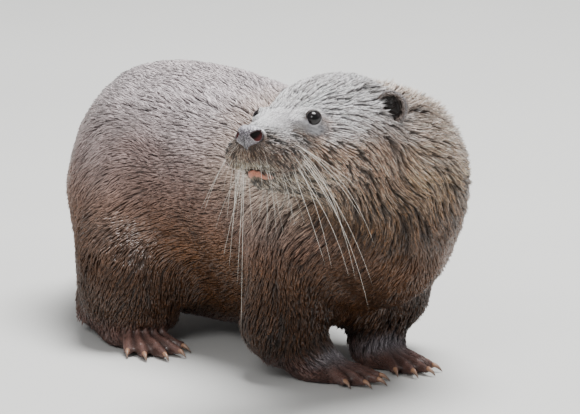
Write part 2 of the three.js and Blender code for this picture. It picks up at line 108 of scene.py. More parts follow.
FLESH = ["head", "neck", "trunk", "tail_base", "tail_tip"]
FLESH += [f"{part}_{side}" for part in ("foreleg", "forepaw", "hindleg", "hindpaw") for side in SIDES]


# ---- small maths on arrays of points

def unit(v):
    return v / np.maximum(np.linalg.norm(v, axis=-1, keepdims=True), 1e-12)


def along_surface(ways, normals):
    """What is left of each way when its part along the normal is taken off."""
    return ways - normals * (ways * normals).sum(1)[:, None]


def step(x, low, high):
    """0 below low, 1 above high, and smooth between."""
    t = np.clip((x - low) / (high - low), 0, 1)
    return t * t * (3 - 2 * t)


def mix(a, b, t):
    return a + (b - a) * (t[:, None] if np.ndim(t) == 1 and np.ndim(b) > 0 and np.shape(b)[-1] == 3 else t)


def into_head(points):
    return (points - HEAD_AT) @ HEAD_AXES / MM


def from_head(points):
    return np.asarray(points) @ HEAD_AXES.T * MM + HEAD_AT


def turn_from_head(ways):
    return np.asarray(ways) @ HEAD_AXES.T


def waves(points, length, seed, count=7):
    """A smooth random value from about -1 to 1 that changes over `length`, from a few plane waves."""
    source = np.random.default_rng(seed)
    ways = unit(source.normal(size=(count, 3))) * (2 * math.pi / length)
    ways = ways * source.uniform(0.6, 1.5, (count, 1))
    phases = source.uniform(0, 2 * math.pi, count)
    return np.sin(points @ ways.T + phases).sum(1) / math.sqrt(count)


def linear(r, g, b):
    """A colour seen on a screen, as the light that a surface sends back."""
    c = np.array([r, g, b]) / 255
    return np.where(c <= 0.04045, c / 12.92, ((c + 0.055) / 1.055) ** 2.4)


def turn_of(count):
    """The angles of so many places spread evenly round a circle."""
    return np.arange(count) * 2 * math.pi / count


def hump(x, wide):
    """1 where x is 0, falling to 0 on both sides of it."""
    return np.exp(-((x / wide) ** 2))


def on_left(p):
    """Places in the head's frame, with those of its right side mirrored on to the left."""
    return np.stack([p[:, 0], np.abs(p[:, 1]), p[:, 2]], 1)


def round_place(p, at, radii):
    """1 at a place on the left of the head and at its mirror image, falling to 0 round it."""
    return np.exp(-(((on_left(p) - at) / radii) ** 2).sum(1))


def layered(colour, *layers):
    """A colour with others over it in turn: each layer is a colour and the share of it that shows."""
    for over, share in layers:
        colour = mix(colour, over, share)
    return colour


# ---- fields of distance for the head, in mm

def smooth_min(a, b, k):
    h = np.maximum(k - np.abs(a - b), 0) / k
    return np.minimum(a, b) - h * h * k * 0.25


def ellipsoid(p, at, radii):
    q = (p - np.array(at)) / np.array(radii)
    far = np.linalg.norm(q, axis=1)
    near = np.maximum(np.linalg.norm(q / np.array(radii), axis=1), 1e-9)
    return far * (far - 1) / near


def from_line(p, a, b):
    """How far each place is from the line from a to b, and how far along the line, as a share, it is."""
    a = np.array(a, float)
    along = np.array(b, float) - a
    t = np.clip((p - a) @ along / (along @ along), 0, 1)
    return np.linalg.norm(p - a - t[:, None] * along, axis=1), t


def cone(p, a, b, ra, rb):
    far, t = from_line(p, a, b)
    return far - (ra + t * (rb - ra))


def skull_field(p):
    """The head's outline with its coat on, as in the solids."""
    skull = ellipsoid(p, (0, 0, -0.5), (52, 48, 39.5))
    skull = smooth_min(skull, cone(p, (30, 0, -3), (96, 0, -8.5), 30, 13), 16)
    face = ellipsoid(p, (78, 0, -18), (29, 28, 17))
    for side in SIDES.values():
        skull = smooth_min(skull, ellipsoid(p, (16, 26 * side, -19), (40, 26, 27)), 16)
        face = smooth_min(face, ellipsoid(p, (87, 15.5 * side, -20), (18, 16, 13)), 7)
    for side in SIDES.values():
        face = smooth_min(face, ellipsoid(p, (57, 20.5 * side, 5), (17, 10, 8.5)), 7)
    whole = smooth_min(smooth_min(skull, face, 11), cone(p, (14, 0, -38), (90, 0, -36), 22, 9.5), 8)
    stations = [(into_head(place(x, y, z)[None])[0], r) for x, y, z, r in NECK]
    for (a, ra), (b, rb) in zip(stations, stations[1:]):
        whole = smooth_min(whole, cone(p, a, b, ra, rb), 14)
    return whole


def slope(field, p, e=0.4):
    ways = np.eye(3) * e
    return np.stack([(field(p + w) - field(p - w)) / (2 * e) for w in ways], 1)


# ---- bones: which way the coat lies

def segments(stations):
    return [(place(*a[:3]), place(*b[:3]), a[3] * MM, b[3] * MM) for a, b in zip(stations, stations[1:])]


def on_paw(name, along):
    """A place on a paw's middle line, so far from the end of the leg, in mm, and the paw's turn."""
    end, turned, _ = PAWS[name]
    turn = math.radians(turned)
    return np.array(end[:2]) + np.array([math.cos(turn), math.sin(turn)]) * along, turn


def paw_line(name):
    shape = PAWS[name][2]
    return [(*on_paw(name, shape["palm"] - 12)[0], 8, 17), (*on_paw(name, shape["reach"])[0], 5, 17)]


BONES = {
    "head": [(from_head((-20, 0, -5)), from_head((30, 0, -8)), 44 * MM, 40 * MM),
             (from_head((30, 0, -8)), from_head((92, 0, -14)), 40 * MM, 20 * MM)],
    "neck": segments(NECK),
    "trunk": segments(TRUNK),
    "tail": segments(TAIL),
}
for side in SIDES:
    BONES[f"foreleg_{side}"] = segments(FORELEGS[side])
    BONES[f"hindleg_{side}"] = segments(HINDLEGS[side])
    for paw in (f"forepaw_{side}", f"hindpaw_{side}"):
        BONES[paw] = segments(paw_line(paw))


def along_bones(points):
    """For each part: how near each point is to it, as a share of its radius, the way that its coat runs,
    how far along it the point is, and the nearest place on the bone."""
    found = {}
    for name, parts in BONES.items():
        best = np.full(len(points), np.inf)
        way = np.zeros((len(points), 3))
        far = np.zeros(len(points))
        foot = np.zeros((len(points), 3))
        start = 0.0
        for a, b, ra, rb in parts:
            line = b - a
            size = np.linalg.norm(line)
            t = np.clip((points - a) @ line / size**2, 0, 1)
            near = a + t[:, None] * line
            q = np.linalg.norm(points - near, axis=1) / (ra + t * (rb - ra))
            closer = q < best
            best = np.where(closer, q, best)
            way[closer] = line / size
            far = np.where(closer, start + t * size, far)
            foot[closer] = near[closer]
            start += size
        found[name] = (best, way if name != "head" else -way, far, foot)
    return found


# ---- meshes from arrays

def select_only(*objects):
    """Selects the objects alone, and makes the first of them the active one."""
    bpy.ops.object.select_all(action="DESELECT")
    for obj in objects:
        obj.select_set(True)
    bpy.context.view_layer.objects.active = objects[0]


def add_object(name, data):
    obj = bpy.data.objects.new(name, data)
    bpy.context.scene.collection.objects.link(obj)
    return obj


def new_ball(name, cuts):
    """A smooth ball of radius 1, and its points."""
    bpy.ops.object.select_all(action="DESELECT")
    bpy.ops.mesh.primitive_ico_sphere_add(subdivisions=cuts, radius=1)
    obj = bpy.context.object
    obj.name = obj.data.name = name
    bpy.ops.object.shade_smooth()
    return obj, read_mesh(obj.data)


def weld(obj, within, turn_out=True):
    """Merges points that lie together, and turns all the faces outwards."""
    select_only(obj)
    bpy.ops.object.mode_set(mode="EDIT")
    bpy.ops.mesh.select_all(action="SELECT")
    bpy.ops.mesh.remove_doubles(threshold=within)
    if turn_out:
        bpy.ops.mesh.normals_make_consistent(inside=False)
    bpy.ops.object.mode_set(mode="OBJECT")


def read(items, value, wide, kind=np.float32):
    """A value of each of a mesh's points, edges, corners or faces, in rows so wide."""
    rows = np.empty(len(items) * wide, kind)
    items.foreach_get(value, rows)
    return rows.reshape(-1, wide)


def read_mesh(mesh):
    return read(mesh.vertices, "co", 3).astype(float)


def write_mesh(mesh, co):
    mesh.vertices.foreach_set("co", co.astype(np.float32).ravel())
    mesh.update()


def read_normals(mesh):
    return read(mesh.vertex_normals, "vector", 3).astype(float)


def read_triangles(mesh):
    mesh.calc_loop_triangles()
    return read(mesh.loop_triangles, "vertices", 3, np.int32)


def paint(mesh, name, colours):
    """Gives each point a colour, or a plain value."""
    attribute = mesh.color_attributes.new(name, "FLOAT_COLOR", "POINT")
    rgba = np.ones((len(mesh.vertices), 4), np.float32)
    rgba[:, :3] = colours if np.ndim(colours) == 2 else np.reshape(colours, (-1, 1))
    attribute.data.foreach_set("color", rgba.ravel())


def new_piece(name, points, faces, colours, uv=None):
    """A smooth piece made of triangles, with a colour and maybe a place on a flat map for each point."""
    mesh = bpy.data.meshes.new(name)
    points = np.reshape(points, (-1, 3)).astype(np.float32)
    corners = np.ravel(faces).astype(np.int32)
    count = len(corners) // 3
    mesh.vertices.add(len(points))
    mesh.vertices.foreach_set("co", points.ravel())
    mesh.loops.add(len(corners))
    mesh.loops.foreach_set("vertex_index", corners)
    mesh.polygons.add(count)
    mesh.polygons.foreach_set("loop_start", np.arange(0, len(corners), 3, dtype=np.int32))
    mesh.polygons.foreach_set("use_smooth", np.ones(count, bool))
    mesh.update(calc_edges=True)
    paint(mesh, "tint", np.reshape(colours, (-1, 3)))
    if uv is not None:
        layer = mesh.uv_layers.new(name="OFBake")
        layer.data.foreach_set("uv", np.reshape(uv, (-1, 2)).astype(np.float32)[corners].ravel())
    return add_object(name, mesh)


def finish_piece(obj, material, slot, *nodes):
    """Gives a piece its finish and its body, and hides the solids that it stands in for. The slot is not
    used.
    """
    obj.data.materials.clear()
    obj.data.materials.append(material)
    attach(obj, "root")
    if nodes:
        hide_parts(*nodes)


def grid_faces(rows, columns, closed_rows=False):
    """Triangles of a grid of points whose columns close into rings, and whose rows may close too."""
    i, j = np.meshgrid(np.arange(rows if closed_rows else rows - 1), np.arange(columns), indexing="ij")
    a = i * columns + j
    b = i * columns + (j + 1) % columns
    c = (i + 1) % rows * columns + (j + 1) % columns
    d = (i + 1) % rows * columns + j
    return np.concatenate([np.stack([a, b, c], -1).reshape(-1, 3), np.stack([a, c, d], -1).reshape(-1, 3)])


def tubes(lines, radii, sides):
    """Many round spikes at once. Each line is a row of points, and radii are those of its points: the last
    one is the tip. Returns points and faces."""
    lines = np.asarray(lines, float)
    radii = np.asarray(radii, float)
    count, rings = lines.shape[:2]
    way = unit(np.gradient(lines, axis=1))
    side = unit(np.cross(way, np.array([0.13, 0.21, 0.97])))
    top = np.cross(side, way)
    angles = turn_of(sides)[:, None]
    ring = side[:, :, None] * np.cos(angles) + top[:, :, None] * np.sin(angles)
    body = lines[:, :-1, None] + ring[:, :-1] * radii[:, :-1, None, None]
    body = body.reshape(count, -1, 3)
    points = np.concatenate([lines[:, :1], body, lines[:, -1:]], 1)
    faces = []
    last = 1 + (rings - 1) * sides
    for s in range(sides):
        n = (s + 1) % sides
        faces.append((0, 1 + s, 1 + n))
        for r in range(rings - 2):
            a, b = 1 + r * sides + s, 1 + r * sides + n
            faces += [(a, b + sides, b), (a, a + sides, b + sides)]
        faces.append((last, last - sides + n, last - sides + s))
    offsets = np.arange(count)[:, None, None] * points.shape[1]
    return points.reshape(-1, 3), (np.array(faces)[None] + offsets).reshape(-1, 3)


# ---- the skin

VOXEL = 3.85 * MM
SEAMS = 0.02 * MM  # points of the solids that lie as close as this are one
BRIDGE_GAPS = 0.4 * MM  # the solids grow by this before they join
SOFT_ROUNDS, SWELL = 80, 1.06  # the first smoothing, which keeps the volume
FINE_ROUNDS = 4  # the second smoothing, mostly of the face
SURFACE_ROUNDS, LEAST_SLOPE, LONGEST_MOVE = 4, 0.05, 2.5  # moves of the head's skin on to its outline, in mm
SKIN_OFF_GROUND, COAT_OFF_GROUND = 0.2 * MM, 0.1 * MM
FURROW_DEPTH, TOE_RISE = 2.6, 0.5  # of the toes, in mm


def joined_flesh():
    """One closed shell from copies of all the parts of flesh."""
    copies = []
    for name in FLESH:
        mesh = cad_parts[name].data.copy()
        mesh.materials.clear()
        copies.append(add_object(f"copy_{name}", mesh))
    skin = copies[0]
    select_only(*copies)
    bpy.ops.object.join()
    weld(skin, SEAMS, False)
    write_mesh(skin.data, read_mesh(skin.data) + read_normals(skin.data) * BRIDGE_GAPS)
    remesh = skin.modifiers.new("one shell", "REMESH")
    remesh.mode = "VOXEL"
    remesh.voxel_size = VOXEL
    bpy.ops.object.modifier_apply(modifier=remesh.name)
    skin.name = skin.data.name = "skin"
    return skin


def soften(mesh, co, share, rounds, swell=0.0):
    """Moves each point towards the middle of its neighbours by its share, many times. With swell, every
    other round moves it back by that much more, which keeps the volume."""
    a, b = read(mesh.edges, "vertices", 2, np.int32).T
    count = np.maximum(np.bincount(a, minlength=len(co)) + np.bincount(b, minlength=len(co)), 1)
    for turn in range(rounds):
        now = -share * swell if swell and turn % 2 else share
        middle = np.stack([
            np.bincount(a, co[b, k], len(co)) + np.bincount(b, co[a, k], len(co)) for k in range(co.shape[1])
        ], 1) / count[:, None]
        co = co + (middle - co) * now[:, None]
    return co


def subdivide_where(obj, chosen):
    """Cuts in four the faces whose corners are all chosen."""
    mesh = obj.data
    select_only(obj)
    bpy.ops.object.mode_set(mode="EDIT")
    bpy.ops.mesh.select_all(action="DESELECT")
    bpy.ops.object.mode_set(mode="OBJECT")
    corners = read(mesh.loops, "vertex_index", 1, np.int32)[:, 0]
    starts = read(mesh.polygons, "loop_start", 1, np.int32)[:, 0]
    inside = np.minimum.reduceat(chosen[corners].astype(int), starts)
    mesh.polygons.foreach_set("select", inside.astype(bool))
    bpy.ops.object.mode_set(mode="EDIT")
    bpy.ops.mesh.select_mode(type="FACE")
    bpy.ops.mesh.subdivide(number_cuts=1)
    bpy.ops.object.mode_set(mode="OBJECT")


def paw_share(points):
    """1 on the paws, 0 elsewhere."""
    share = np.zeros(len(points))
    for name in PAWS:
        low, high = (np.array(c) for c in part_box(name))
        inside = np.all((points > low - 2 * MM) & (points < high + 2 * MM), axis=1)
        share = np.maximum(share, inside * (1 - step(points[:, 2], high[2] - 8 * MM, high[2])))
    return share


TOE_ROOT = 8  # how far behind the front of the palm the digits' lines meet, in mm


def toes(points):
    """Two masks: on the toes, and in the furrows between them."""
    on, between = np.zeros(len(points)), np.zeros(len(points))
    local = points / MM - SHIFT
    for name, (_, _, shape) in PAWS.items():
        heel, turn = on_paw(name, shape["palm"] - TOE_ROOT)
        arm = local[:, :2] - heel
        reach = np.linalg.norm(arm, axis=1)
        angle = (np.arctan2(arm[:, 1], arm[:, 0]) - turn + math.pi) % (2 * math.pi) - math.pi
        digit = angle / math.radians(shape["fan"])
        share = step(reach, 13, 26) * (reach < 85) * (np.abs(digit) < 2.9) * step(-local[:, 2], -24, -18)
        on = np.maximum(on, share)
        furrow = (0.5 - 0.5 * np.cos(2 * math.pi * digit)) ** 1.6 * (np.abs(digit) < 2)
        between = np.maximum(between, share * furrow)
    return on, between


def coat_depth(points, head):
    """How far the skin lies under the tips of the coat, in metres."""
    x, _, z = head.T
    depth = np.full(len(points), 2.2)
    neck = step(points[:, 0], 0.13, 0.19) * step(points[:, 2], 0.09, 0.13) * step(-x, 0, 30)
    depth = mix(depth, 2.8, neck)
    depth = mix(depth, 2.0, step(-points[:, 2], -0.075, -0.04))
    depth = mix(depth, 0.6, paw_share(points))
    on_head = step(x, -35, 5) * (z > -70)
    depth = mix(depth, 1.9, on_head)
    depth = mix(depth, 1.2, step(x, 20, 60) * on_head)
    depth = mix(depth, 0.8, step(x, 75, 96) * on_head)
    return depth * MM


GAZE = unit(np.array([0.62, 0.77, 0.20]))
APERTURE = 53  # half the angle that the lids leave open, in degrees
SOCKET_GAP = 1.7  # between the ball and the skin behind it, in mm


def from_eye(p):
    """For each place in the head: the ray to it from the nearer eye's middle, the ray's length, and its angle
    from the gaze, in degrees."""
    ray = on_left(p) - EYE
    long = np.maximum(np.linalg.norm(ray, axis=1), 0.01)
    return ray, long, np.degrees(np.arccos(np.clip(ray @ GAZE / long, -1, 1)))


def near_line(p, places, wide):
    """1 on a line through places on the left of the head, and on its mirror image, falling to 0 beside it."""
    left = on_left(p)
    return hump(np.min([from_line(left, a, b)[0] for a, b in zip(places, places[1:])], 0), wide)


# Places on the left of the head, in its own frame.
TEAR_CREASE = [(64.5, 28.5, 5.5), (70.7, 26.4, 4.6), (76, 20.0, 1.2)]
REAR_CREASE = [(52.5, 31.5, 6.0), (49, 33.5, 3.5), (44.5, 36.0, 1.5)]
UNDER_FOLD = [(52, 33.0, -2.5), (58, 30.5, -5.0), (66, 26.5, -4.5)]
MOUTH_CORNER = 54.0


def mouth_line(x):
    """Height of the line between the lips, at x along the head."""
    return -31.0 - 0.6 * step(x, 60, 85) + 0.9 * step(x, 88, 101)


def mouth_parts(p):
    """Masks of the slit between the lips and of the bare lower lip in front, then the slit's half height,
    the height over it, and 1 where there is a mouth."""
    x, y, z = p.T
    side = np.abs(y)
    gap = 0.5 + 0.3 * step(x, 70, 92)
    off = z - mouth_line(x)
    reach = step(x, MOUTH_CORNER, MOUTH_CORNER + 8) * step(side / 30 + x / 100, 0.7, 0.9)
    slit = reach * np.exp(-((off / gap) ** 4))
    low = z + 33.4 + 0.38 * side + 0.6 * waves(p, 5, 51)
    lip = ((x - 95) / 9) ** 4 + (side / 10.5) ** 4 + (low / (2.6 - 0.09 * side)) ** 4
    return slit, np.exp(-lip), gap, off, reach


def face_relief(p):
    """Folds of the face: how far each point of the skin stands out, in mm."""
    x, y, z = p.T
    out = -(1.0 * near_line(p, TEAR_CREASE, 1.1) + 0.9 * near_line(p, REAR_CREASE, 1.2))
    out -= 0.55 * near_line(p, UNDER_FOLD, 1.6)
    out += 0.5 * round_place(p, (60, 29, -1), (8, 5, 3))
    ray, long, polar = from_eye(p)
    brow = hump(polar - 92, 16) * step(ray[:, 2], 2, 7) * (1 - step(long, 11, 15))
    out += 0.9 * brow
    # the pads of the whiskers, in soft rows
    rows = np.sin((z + 0.35 * x) * 2 * math.pi / 4.2)
    out += 0.25 * rows * round_place(p, (88, 19, -19), (14, 10, 9))
    # the groove from the nose down to the lips
    out -= 1.5 * step(x, 94, 100) * step(-z, 12, 16) * hump(y, 1.2)
    slit, lip, gap, off, reach = mouth_parts(p)
    out -= slit * (1.2 + 1.4 * step(x, 70, 92))
    out += 0.7 * reach * hump(off - gap - 1.4, 1.5)
    out += 0.9 * lip
    return out


def set_eyes_in(p):
    """Moves the skin round the eyes: under the ball where the lids are open, and up against it round them."""
    ray, long, polar = from_eye(p)
    lid = 1.9 * step(polar, APERTURE - 6, APERTURE + 3)
    wanted = EYE_RADIUS - SOCKET_GAP + lid + 0.55 * step(polar, 52, 60)
    share = (1 - step(polar, 66, 96)) * (1 - step(long, 12, 17))
    sign = np.where(p[:, 1] < 0, -1.0, 1.0)[:, None] ** np.array([[0, 1, 0]])
    return p + ray / long[:, None] * ((wanted - long) * share)[:, None] * sign


def make_skin():
    skin = joined_flesh()
    mesh = skin.data
    co = read_mesh(mesh)
    x, y, z = into_head(co).T
    paws = paw_share(co)
    limbs = step(-co[:, 2], -0.09, -0.05)
    co = soften(mesh, co, 0.5 * (1 - 0.4 * limbs) * (1 - 0.8 * paws), SOFT_ROUNDS, SWELL)
    write_mesh(mesh, co)

    # finer faces on the face and paws, then round the eyes, nose and mouth
    subdivide_where(skin, (x > 20) & (z > -60) & (np.abs(y) < 54) | (paws > 0.3))
    x, y, z = into_head(read_mesh(mesh)).T
    subdivide_where(skin, (x > 38) & (z > -54) & (np.abs(y) < 46))
    head = into_head(read_mesh(mesh))
    mouth = (head[:, 0] > 66) & (np.abs(head[:, 2] + 33) < 9)
    subdivide_where(skin, (from_eye(head)[1] < 15) | mouth)

    co = read_mesh(mesh)
    co = soften(mesh, co, 0.5 * (0.15 + 0.85 * step(into_head(co)[:, 0], -10, 20)), FINE_ROUNDS)
    write_mesh(mesh, co)
    co = co - read_normals(mesh) * coat_depth(co, into_head(co))[:, None]
    fore = step(into_head(co)[:, 0], -22, 8)
    chosen = np.flatnonzero(fore > 0)
    p = into_head(co[chosen])
    wanted = coat_depth(co[chosen], p) / MM
    for _ in range(SURFACE_ROUNDS):
        up = slope(skull_field, p)
        off = skull_field(p) + wanted
        move = np.clip(off / np.maximum((up**2).sum(1), LEAST_SLOPE), -LONGEST_MOVE, LONGEST_MOVE)
        p = p - up * (move * fore[chosen])[:, None]
    co[chosen] = from_head(set_eyes_in(p))
    write_mesh(mesh, co)

    normals = read_normals(mesh)[chosen]
    co[chosen] += normals * (face_relief(into_head(co[chosen])) * fore[chosen] * MM)[:, None]
    on, between = toes(co)
    co -= read_normals(mesh) * ((FURROW_DEPTH * between - TOE_RISE * on) * MM)[:, None]
    co[:, 2] = np.maximum(co[:, 2], SKIN_OFF_GROUND)
    write_mesh(mesh, co)
    return skin


# ---- markings with painted sheen and painted shade, the same on skin and coat

# painted sheen: the pale grey of the coat where it faces up on the back
SKY_SHEEN_GREY = linear(213, 202, 203)
# painted sheen on the upper sides of the tail and the other low parts
TAIL_TOP_SHEEN = linear(136, 114, 102)
# the flank's brown with a painted lilac sheen from above
FLANK_BROWN_AND_SHEEN = linear(152, 127, 121)
BROWN_LOW = linear(130, 90, 62)
# the belly's dark brown, also painted shade where the coat faces down
BELLY_BROWN_AND_SHADE = linear(84, 53, 28)
BROWN_LEG = linear(66, 39, 17)
FAWN_NECK = linear(192, 158, 122)
# painted sheen on the upper side of the neck
NAPE_SHEEN = linear(200, 176, 158)
# the chest's brown, also painted shade under the neck and the head
CHEST_BROWN_AND_SHADE = linear(108, 75, 44)
# painted sheen on the top of the head, the bridge and the bare skin over the nose
FACE_SHEEN_GREY = linear(246, 244, 247)
FACE_BROWN = linear(184, 150, 128)
PAD_BROWN = linear(96, 72, 56)
LIP_CREAM = linear(190, 176, 150)
FAWN_PALE = linear(180, 162, 138)
TOE_BROWN = linear(112, 82, 74)
# painted sheen on the top of the forepaws
WRIST_SHEEN_GREY = linear(150, 146, 152)
MOUTH_PINK = linear(176, 114, 92)
# painted shade: in creases, slits, furrows, hollows and under the jaw
SHADE_DARK = linear(30, 22, 19)
# the pale grey of the bare skin by the eye, also a painted highlight on the lids' lower rim and the ears'
# rims
BARE_AND_SHEEN_GREY = linear(186, 184, 188)


def markings_sheen_and_shade(points, normals, bones):
    """The colour of the coat at each point, from where it is on the animal and which way it faces: its own
    colours, with painted sheen on top and painted shade below, between the toes and under the jaw.
    """
    head = into_head(points)
    x, _, z = head.T
    up, high = normals[:, 2], points[:, 2]
    neck = layered(
        CHEST_BROWN_AND_SHADE,
        (FAWN_NECK, step(high, 0.145, 0.20)),
        # painted sheen where the neck faces up
        (NAPE_SHEEN, step(up, -0.1, 0.5)),
        # painted shade where the neck faces down
        (CHEST_BROWN_AND_SHADE, 0.8 * step(-up, -0.05, 0.6)),
    )
    # paler towards the top and darker towards the bottom: partly the coat's own colour, partly painted sheen
    # above and painted shade below
    colour = layered(
        BELLY_BROWN_AND_SHADE,
        (BROWN_LOW, step(high, 0.03, 0.10)),
        (FLANK_BROWN_AND_SHEEN, step(high, 0.08, 0.165)),
        # painted sheen where the tail and low parts face up
        (TAIL_TOP_SHEEN, 0.75 * step(up, 0.1, 0.8) * step(-high, -0.17, -0.10)),
        # painted sheen on the top of the back
        (SKY_SHEEN_GREY, step(up, 0.05, 0.9) * step(high, 0.10, 0.20)),
        # painted shade where the coat faces down
        (BELLY_BROWN_AND_SHADE, step(-up, 0.0, 0.6)),
        (neck, step(2.0 - bones["neck"][0], 0, 1.1) * step(high, 0.10, 0.16)),
    )
    for name in ("foreleg_left", "foreleg_right", "hindleg_left", "hindleg_right"):
        near = step(1.8 - bones[name][0], 0, 1.0) * step(-high, -0.13, -0.06)
        colour = mix(colour, BROWN_LEG, near * 0.9)
    on_toes, between = toes(points)
    wrist = np.maximum(*(1 - step(bones[f"forepaw_{side}"][0], 1.1, 1.6) for side in SIDES))

    # painted sheen where the head faces up and along the bridge
    top = step(normals @ HEAD_AXES[:, 2], 0.0, 0.65)
    bridge = step(x, 40, 62) * step(z, -6, 6)
    chin = step(x, 20, 50) * step(-z, 33, 37)
    under = step(-z, 25, 36) * (1 - step(x, 10, 40))
    face = layered(
        FACE_BROWN,
        (FACE_SHEEN_GREY, np.maximum(top * 0.85, bridge * 0.9)),
        (PAD_BROWN, step(x, 60, 80) * step(-z, 0, 11) * 0.9),
        (PAD_BROWN, np.minimum(1, 1.4 * round_place(head, (103, 15, -6), (7, 4, 7)))),
        (BARE_AND_SHEEN_GREY, np.minimum(1, 1.5 * round_place(head, (60, 29, -1), (11, 7, 5)))),
        (LIP_CREAM, round_place(head, (101, 7, -27.5), (6, 10, 2.6))),
        (CHEST_BROWN_AND_SHADE, 0.8 * round_place(head, (107, 6, -19), (5, 8, 4.5))),
        (FAWN_PALE, chin * 0.6),
        # painted shadow along the underside of the jaw
        (SHADE_DARK * 1.3, hump(z + 46.5, 2.6) * step(x, 42, 60) * 0.9),
        # painted shade under the back of the head
        (CHEST_BROWN_AND_SHADE, under * 0.6),
    )
    colour = layered(
        colour,
        (TOE_BROWN, np.maximum(step(-high, -0.034, -0.014) * 0.9, on_toes)),
        # painted shade in the furrows between the toes
        (SHADE_DARK, between * 0.75),
        # painted sheen on the top of the forepaws
        (WRIST_SHEEN_GREY, 0.75 * wrist * step(high, 0.010, 0.022) * step(-high, -0.050, -0.030)),
        (face, step(x, -38, 0) * step(z, -62, -40)),
        (FAWN_PALE, round_place(head, (48, 0, -64), (34, 30, 15)) * 0.7),
    )
    colour = colour * (1 + 0.09 * waves(points, 45 * MM, 3) + 0.07 * waves(points, 14 * MM, 5))[:, None]
    return np.clip(colour, 0.003, 0.9)


def paint_skin(skin):
    mesh = skin.data
    co = read_mesh(mesh)
    head = into_head(co)
    x, y, z = head.T
    ray, long, polar = from_eye(head)
    # painted shade on the upper lid and a painted highlight on the wet lower rim
    lid = mix(SHADE_DARK * 2, BARE_AND_SHEEN_GREY * 0.8, step(-ray[:, 2], -1, 3))
    crease = np.maximum(near_line(head, TEAR_CREASE, 0.8), near_line(head, REAR_CREASE, 0.9))
    front = x > 40
    slit, lip = (part * front for part in mouth_parts(head)[:2])
    bare_nose = step(x, 86, 96) * step(z, -8, 0) * step(-np.abs(y), -12, -7)
    colour = layered(
        # the coat's colours, darkened as painted shade under the hair, less so on the toes
        markings_sheen_and_shade(co, read_normals(mesh), along_bones(co)) * (0.4 + 0.45 * toes(co)[0])[:, None],
        (BARE_AND_SHEEN_GREY * 0.7, np.minimum(1, 1.6 * round_place(head, (60, 29, -1), (10, 6, 4.5)))),
        (lid, (1 - step(polar, 66, 84)) * (1 - step(long, 9, 12))),
        # painted shade in the creases by the eye
        (SHADE_DARK, np.minimum(1, 1.3 * crease)),
        # painted shade in the slit between the lips
        (SHADE_DARK, np.minimum(1, slit * 1.3)),
        (MOUTH_PINK, np.minimum(1, lip * 1.4) * (1 - slit)),
        # painted shade under the front of the jaw
        (SHADE_DARK, round_place(head, (92, 4, -42.5), (7, 9, 2.2)) * front),
        # painted sheen on the bare skin over the nose
        (FACE_SHEEN_GREY * 0.7, bare_nose),
    )
    colour[(((head - NOSE) / NOSE_RADII) ** 2).sum(1) < 0.85] = SHADE_DARK  # painted shade under the pad of the nose, seen through the nostrils
    paint(mesh, "tint", colour)


# ---- the coat

# For each part, in mm: a tuft's length and width, how many tufts to a square mm, how high its middle and
# its tip lie over the skin, the length of a lock and the room between locks. Then, as shares: how far a
# lock draws its tufts in, how much painted shade darkens its edges, and how strong the painted highlight
# on its tips is.
COAT = {
    "head": (9.0, 0.60, 1.10, 1.5, 1.3, 18, 2.0, 0.84, 0.72, 3.0),
    "neck": (14.5, 0.75, 0.86, 2.3, 2.2, 26, 2.4, 0.90, 0.70, 2.8),
    "trunk": (16.0, 1.30, 0.28, 1.6, 1.2, 24, 3.4, 0.48, 0.12, 1.12),
    "tail": (10.5, 1.35, 0.24, 1.7, 1.2, 15, 3.0, 0.55, 0.30, 1.2),
    "foreleg": (11.0, 1.00, 0.36, 1.8, 1.6, 19, 3.0, 0.80, 0.50, 1.7),
    "hindleg": (11.5, 1.20, 0.27, 1.7, 1.3, 18, 3.2, 0.58, 0.24, 1.2),
    "forepaw": (3.8, 0.60, 1.20, 0.7, 0.4, 6, 1.6, 0.50, 0.40, 1.4),
    "hindpaw": (3.8, 0.70, 0.80, 0.7, 0.4, 6, 1.8, 0.50, 0.40, 1.4),
}
COLUMNS = ["long", "wide", "many", "middle", "tip", "lock", "gap", "pull", "slit", "bright"]
LONG, WIDE, MANY, MIDDLE, TIP, LOCK, GAP, PULL, SLIT_SHADE, TIP_HIGHLIGHT = range(len(COLUMNS))
FINE = 4.4  # tufts shorter than this are straight, in mm
MOST_BENT, MOST_FINE = 19900, 49000  # how many tufts of each kind a piece may have
LOCK_POINTS = 5
FLOW_ROUNDS = 10  # smoothing of the way that the coat runs
DARK_AT = 0.55  # the share of the room between locks at which the painted shade is deepest
PAST_END = 1.22  # how far past the end of a lock its tufts may be drawn


def kind_of(name):
    return name.split("_")[0]


def flow_of(points, normals, bones):
    """Which way the coat runs at each point, along the skin."""
    total = np.zeros((len(points), 3))
    weights = {}
    for name, (near, way, _, _) in bones.items():
        weight = np.exp(-7 * np.clip(near - 0.95, 0, 3))
        if kind_of(name) in ("foreleg", "hindleg"):
            weight *= 2.2
        if kind_of(name) == "hindleg":  # down the thigh, and never forwards against the trunk's coat
            way = unit(way * (0.15, 0.4, 1) + (-0.35, 0, -0.35))
        weights[name] = weight
        if name != "head":
            total += way * weight[:, None]
    head = into_head(points)
    from_nose = unit(head - (104, 0, 2))
    way = unit(from_nose + np.array([-0.75, 0, 0]))
    way[:, 2] -= 0.28 * step(np.abs(head[:, 1]), 12, 30) * step(-head[:, 2], -12, 15)
    total += turn_from_head(way) * (weights["head"] * 1.3)[:, None]
    total[:, 2] -= 0.16 * np.linalg.norm(total, axis=1) * (1 - step(normals[:, 2], 0.3, 0.8))
    total = unit(along_surface(total, normals))
    sway = 0.20 * waves(points, 60 * MM, 20) + 0.20 * waves(points, 22 * MM, 21)
    sway *= 1 - 0.7 * step(head[:, 0], 30, 60)
    return total * np.cos(sway)[:, None] + np.cross(normals, total) * np.sin(sway)[:, None]


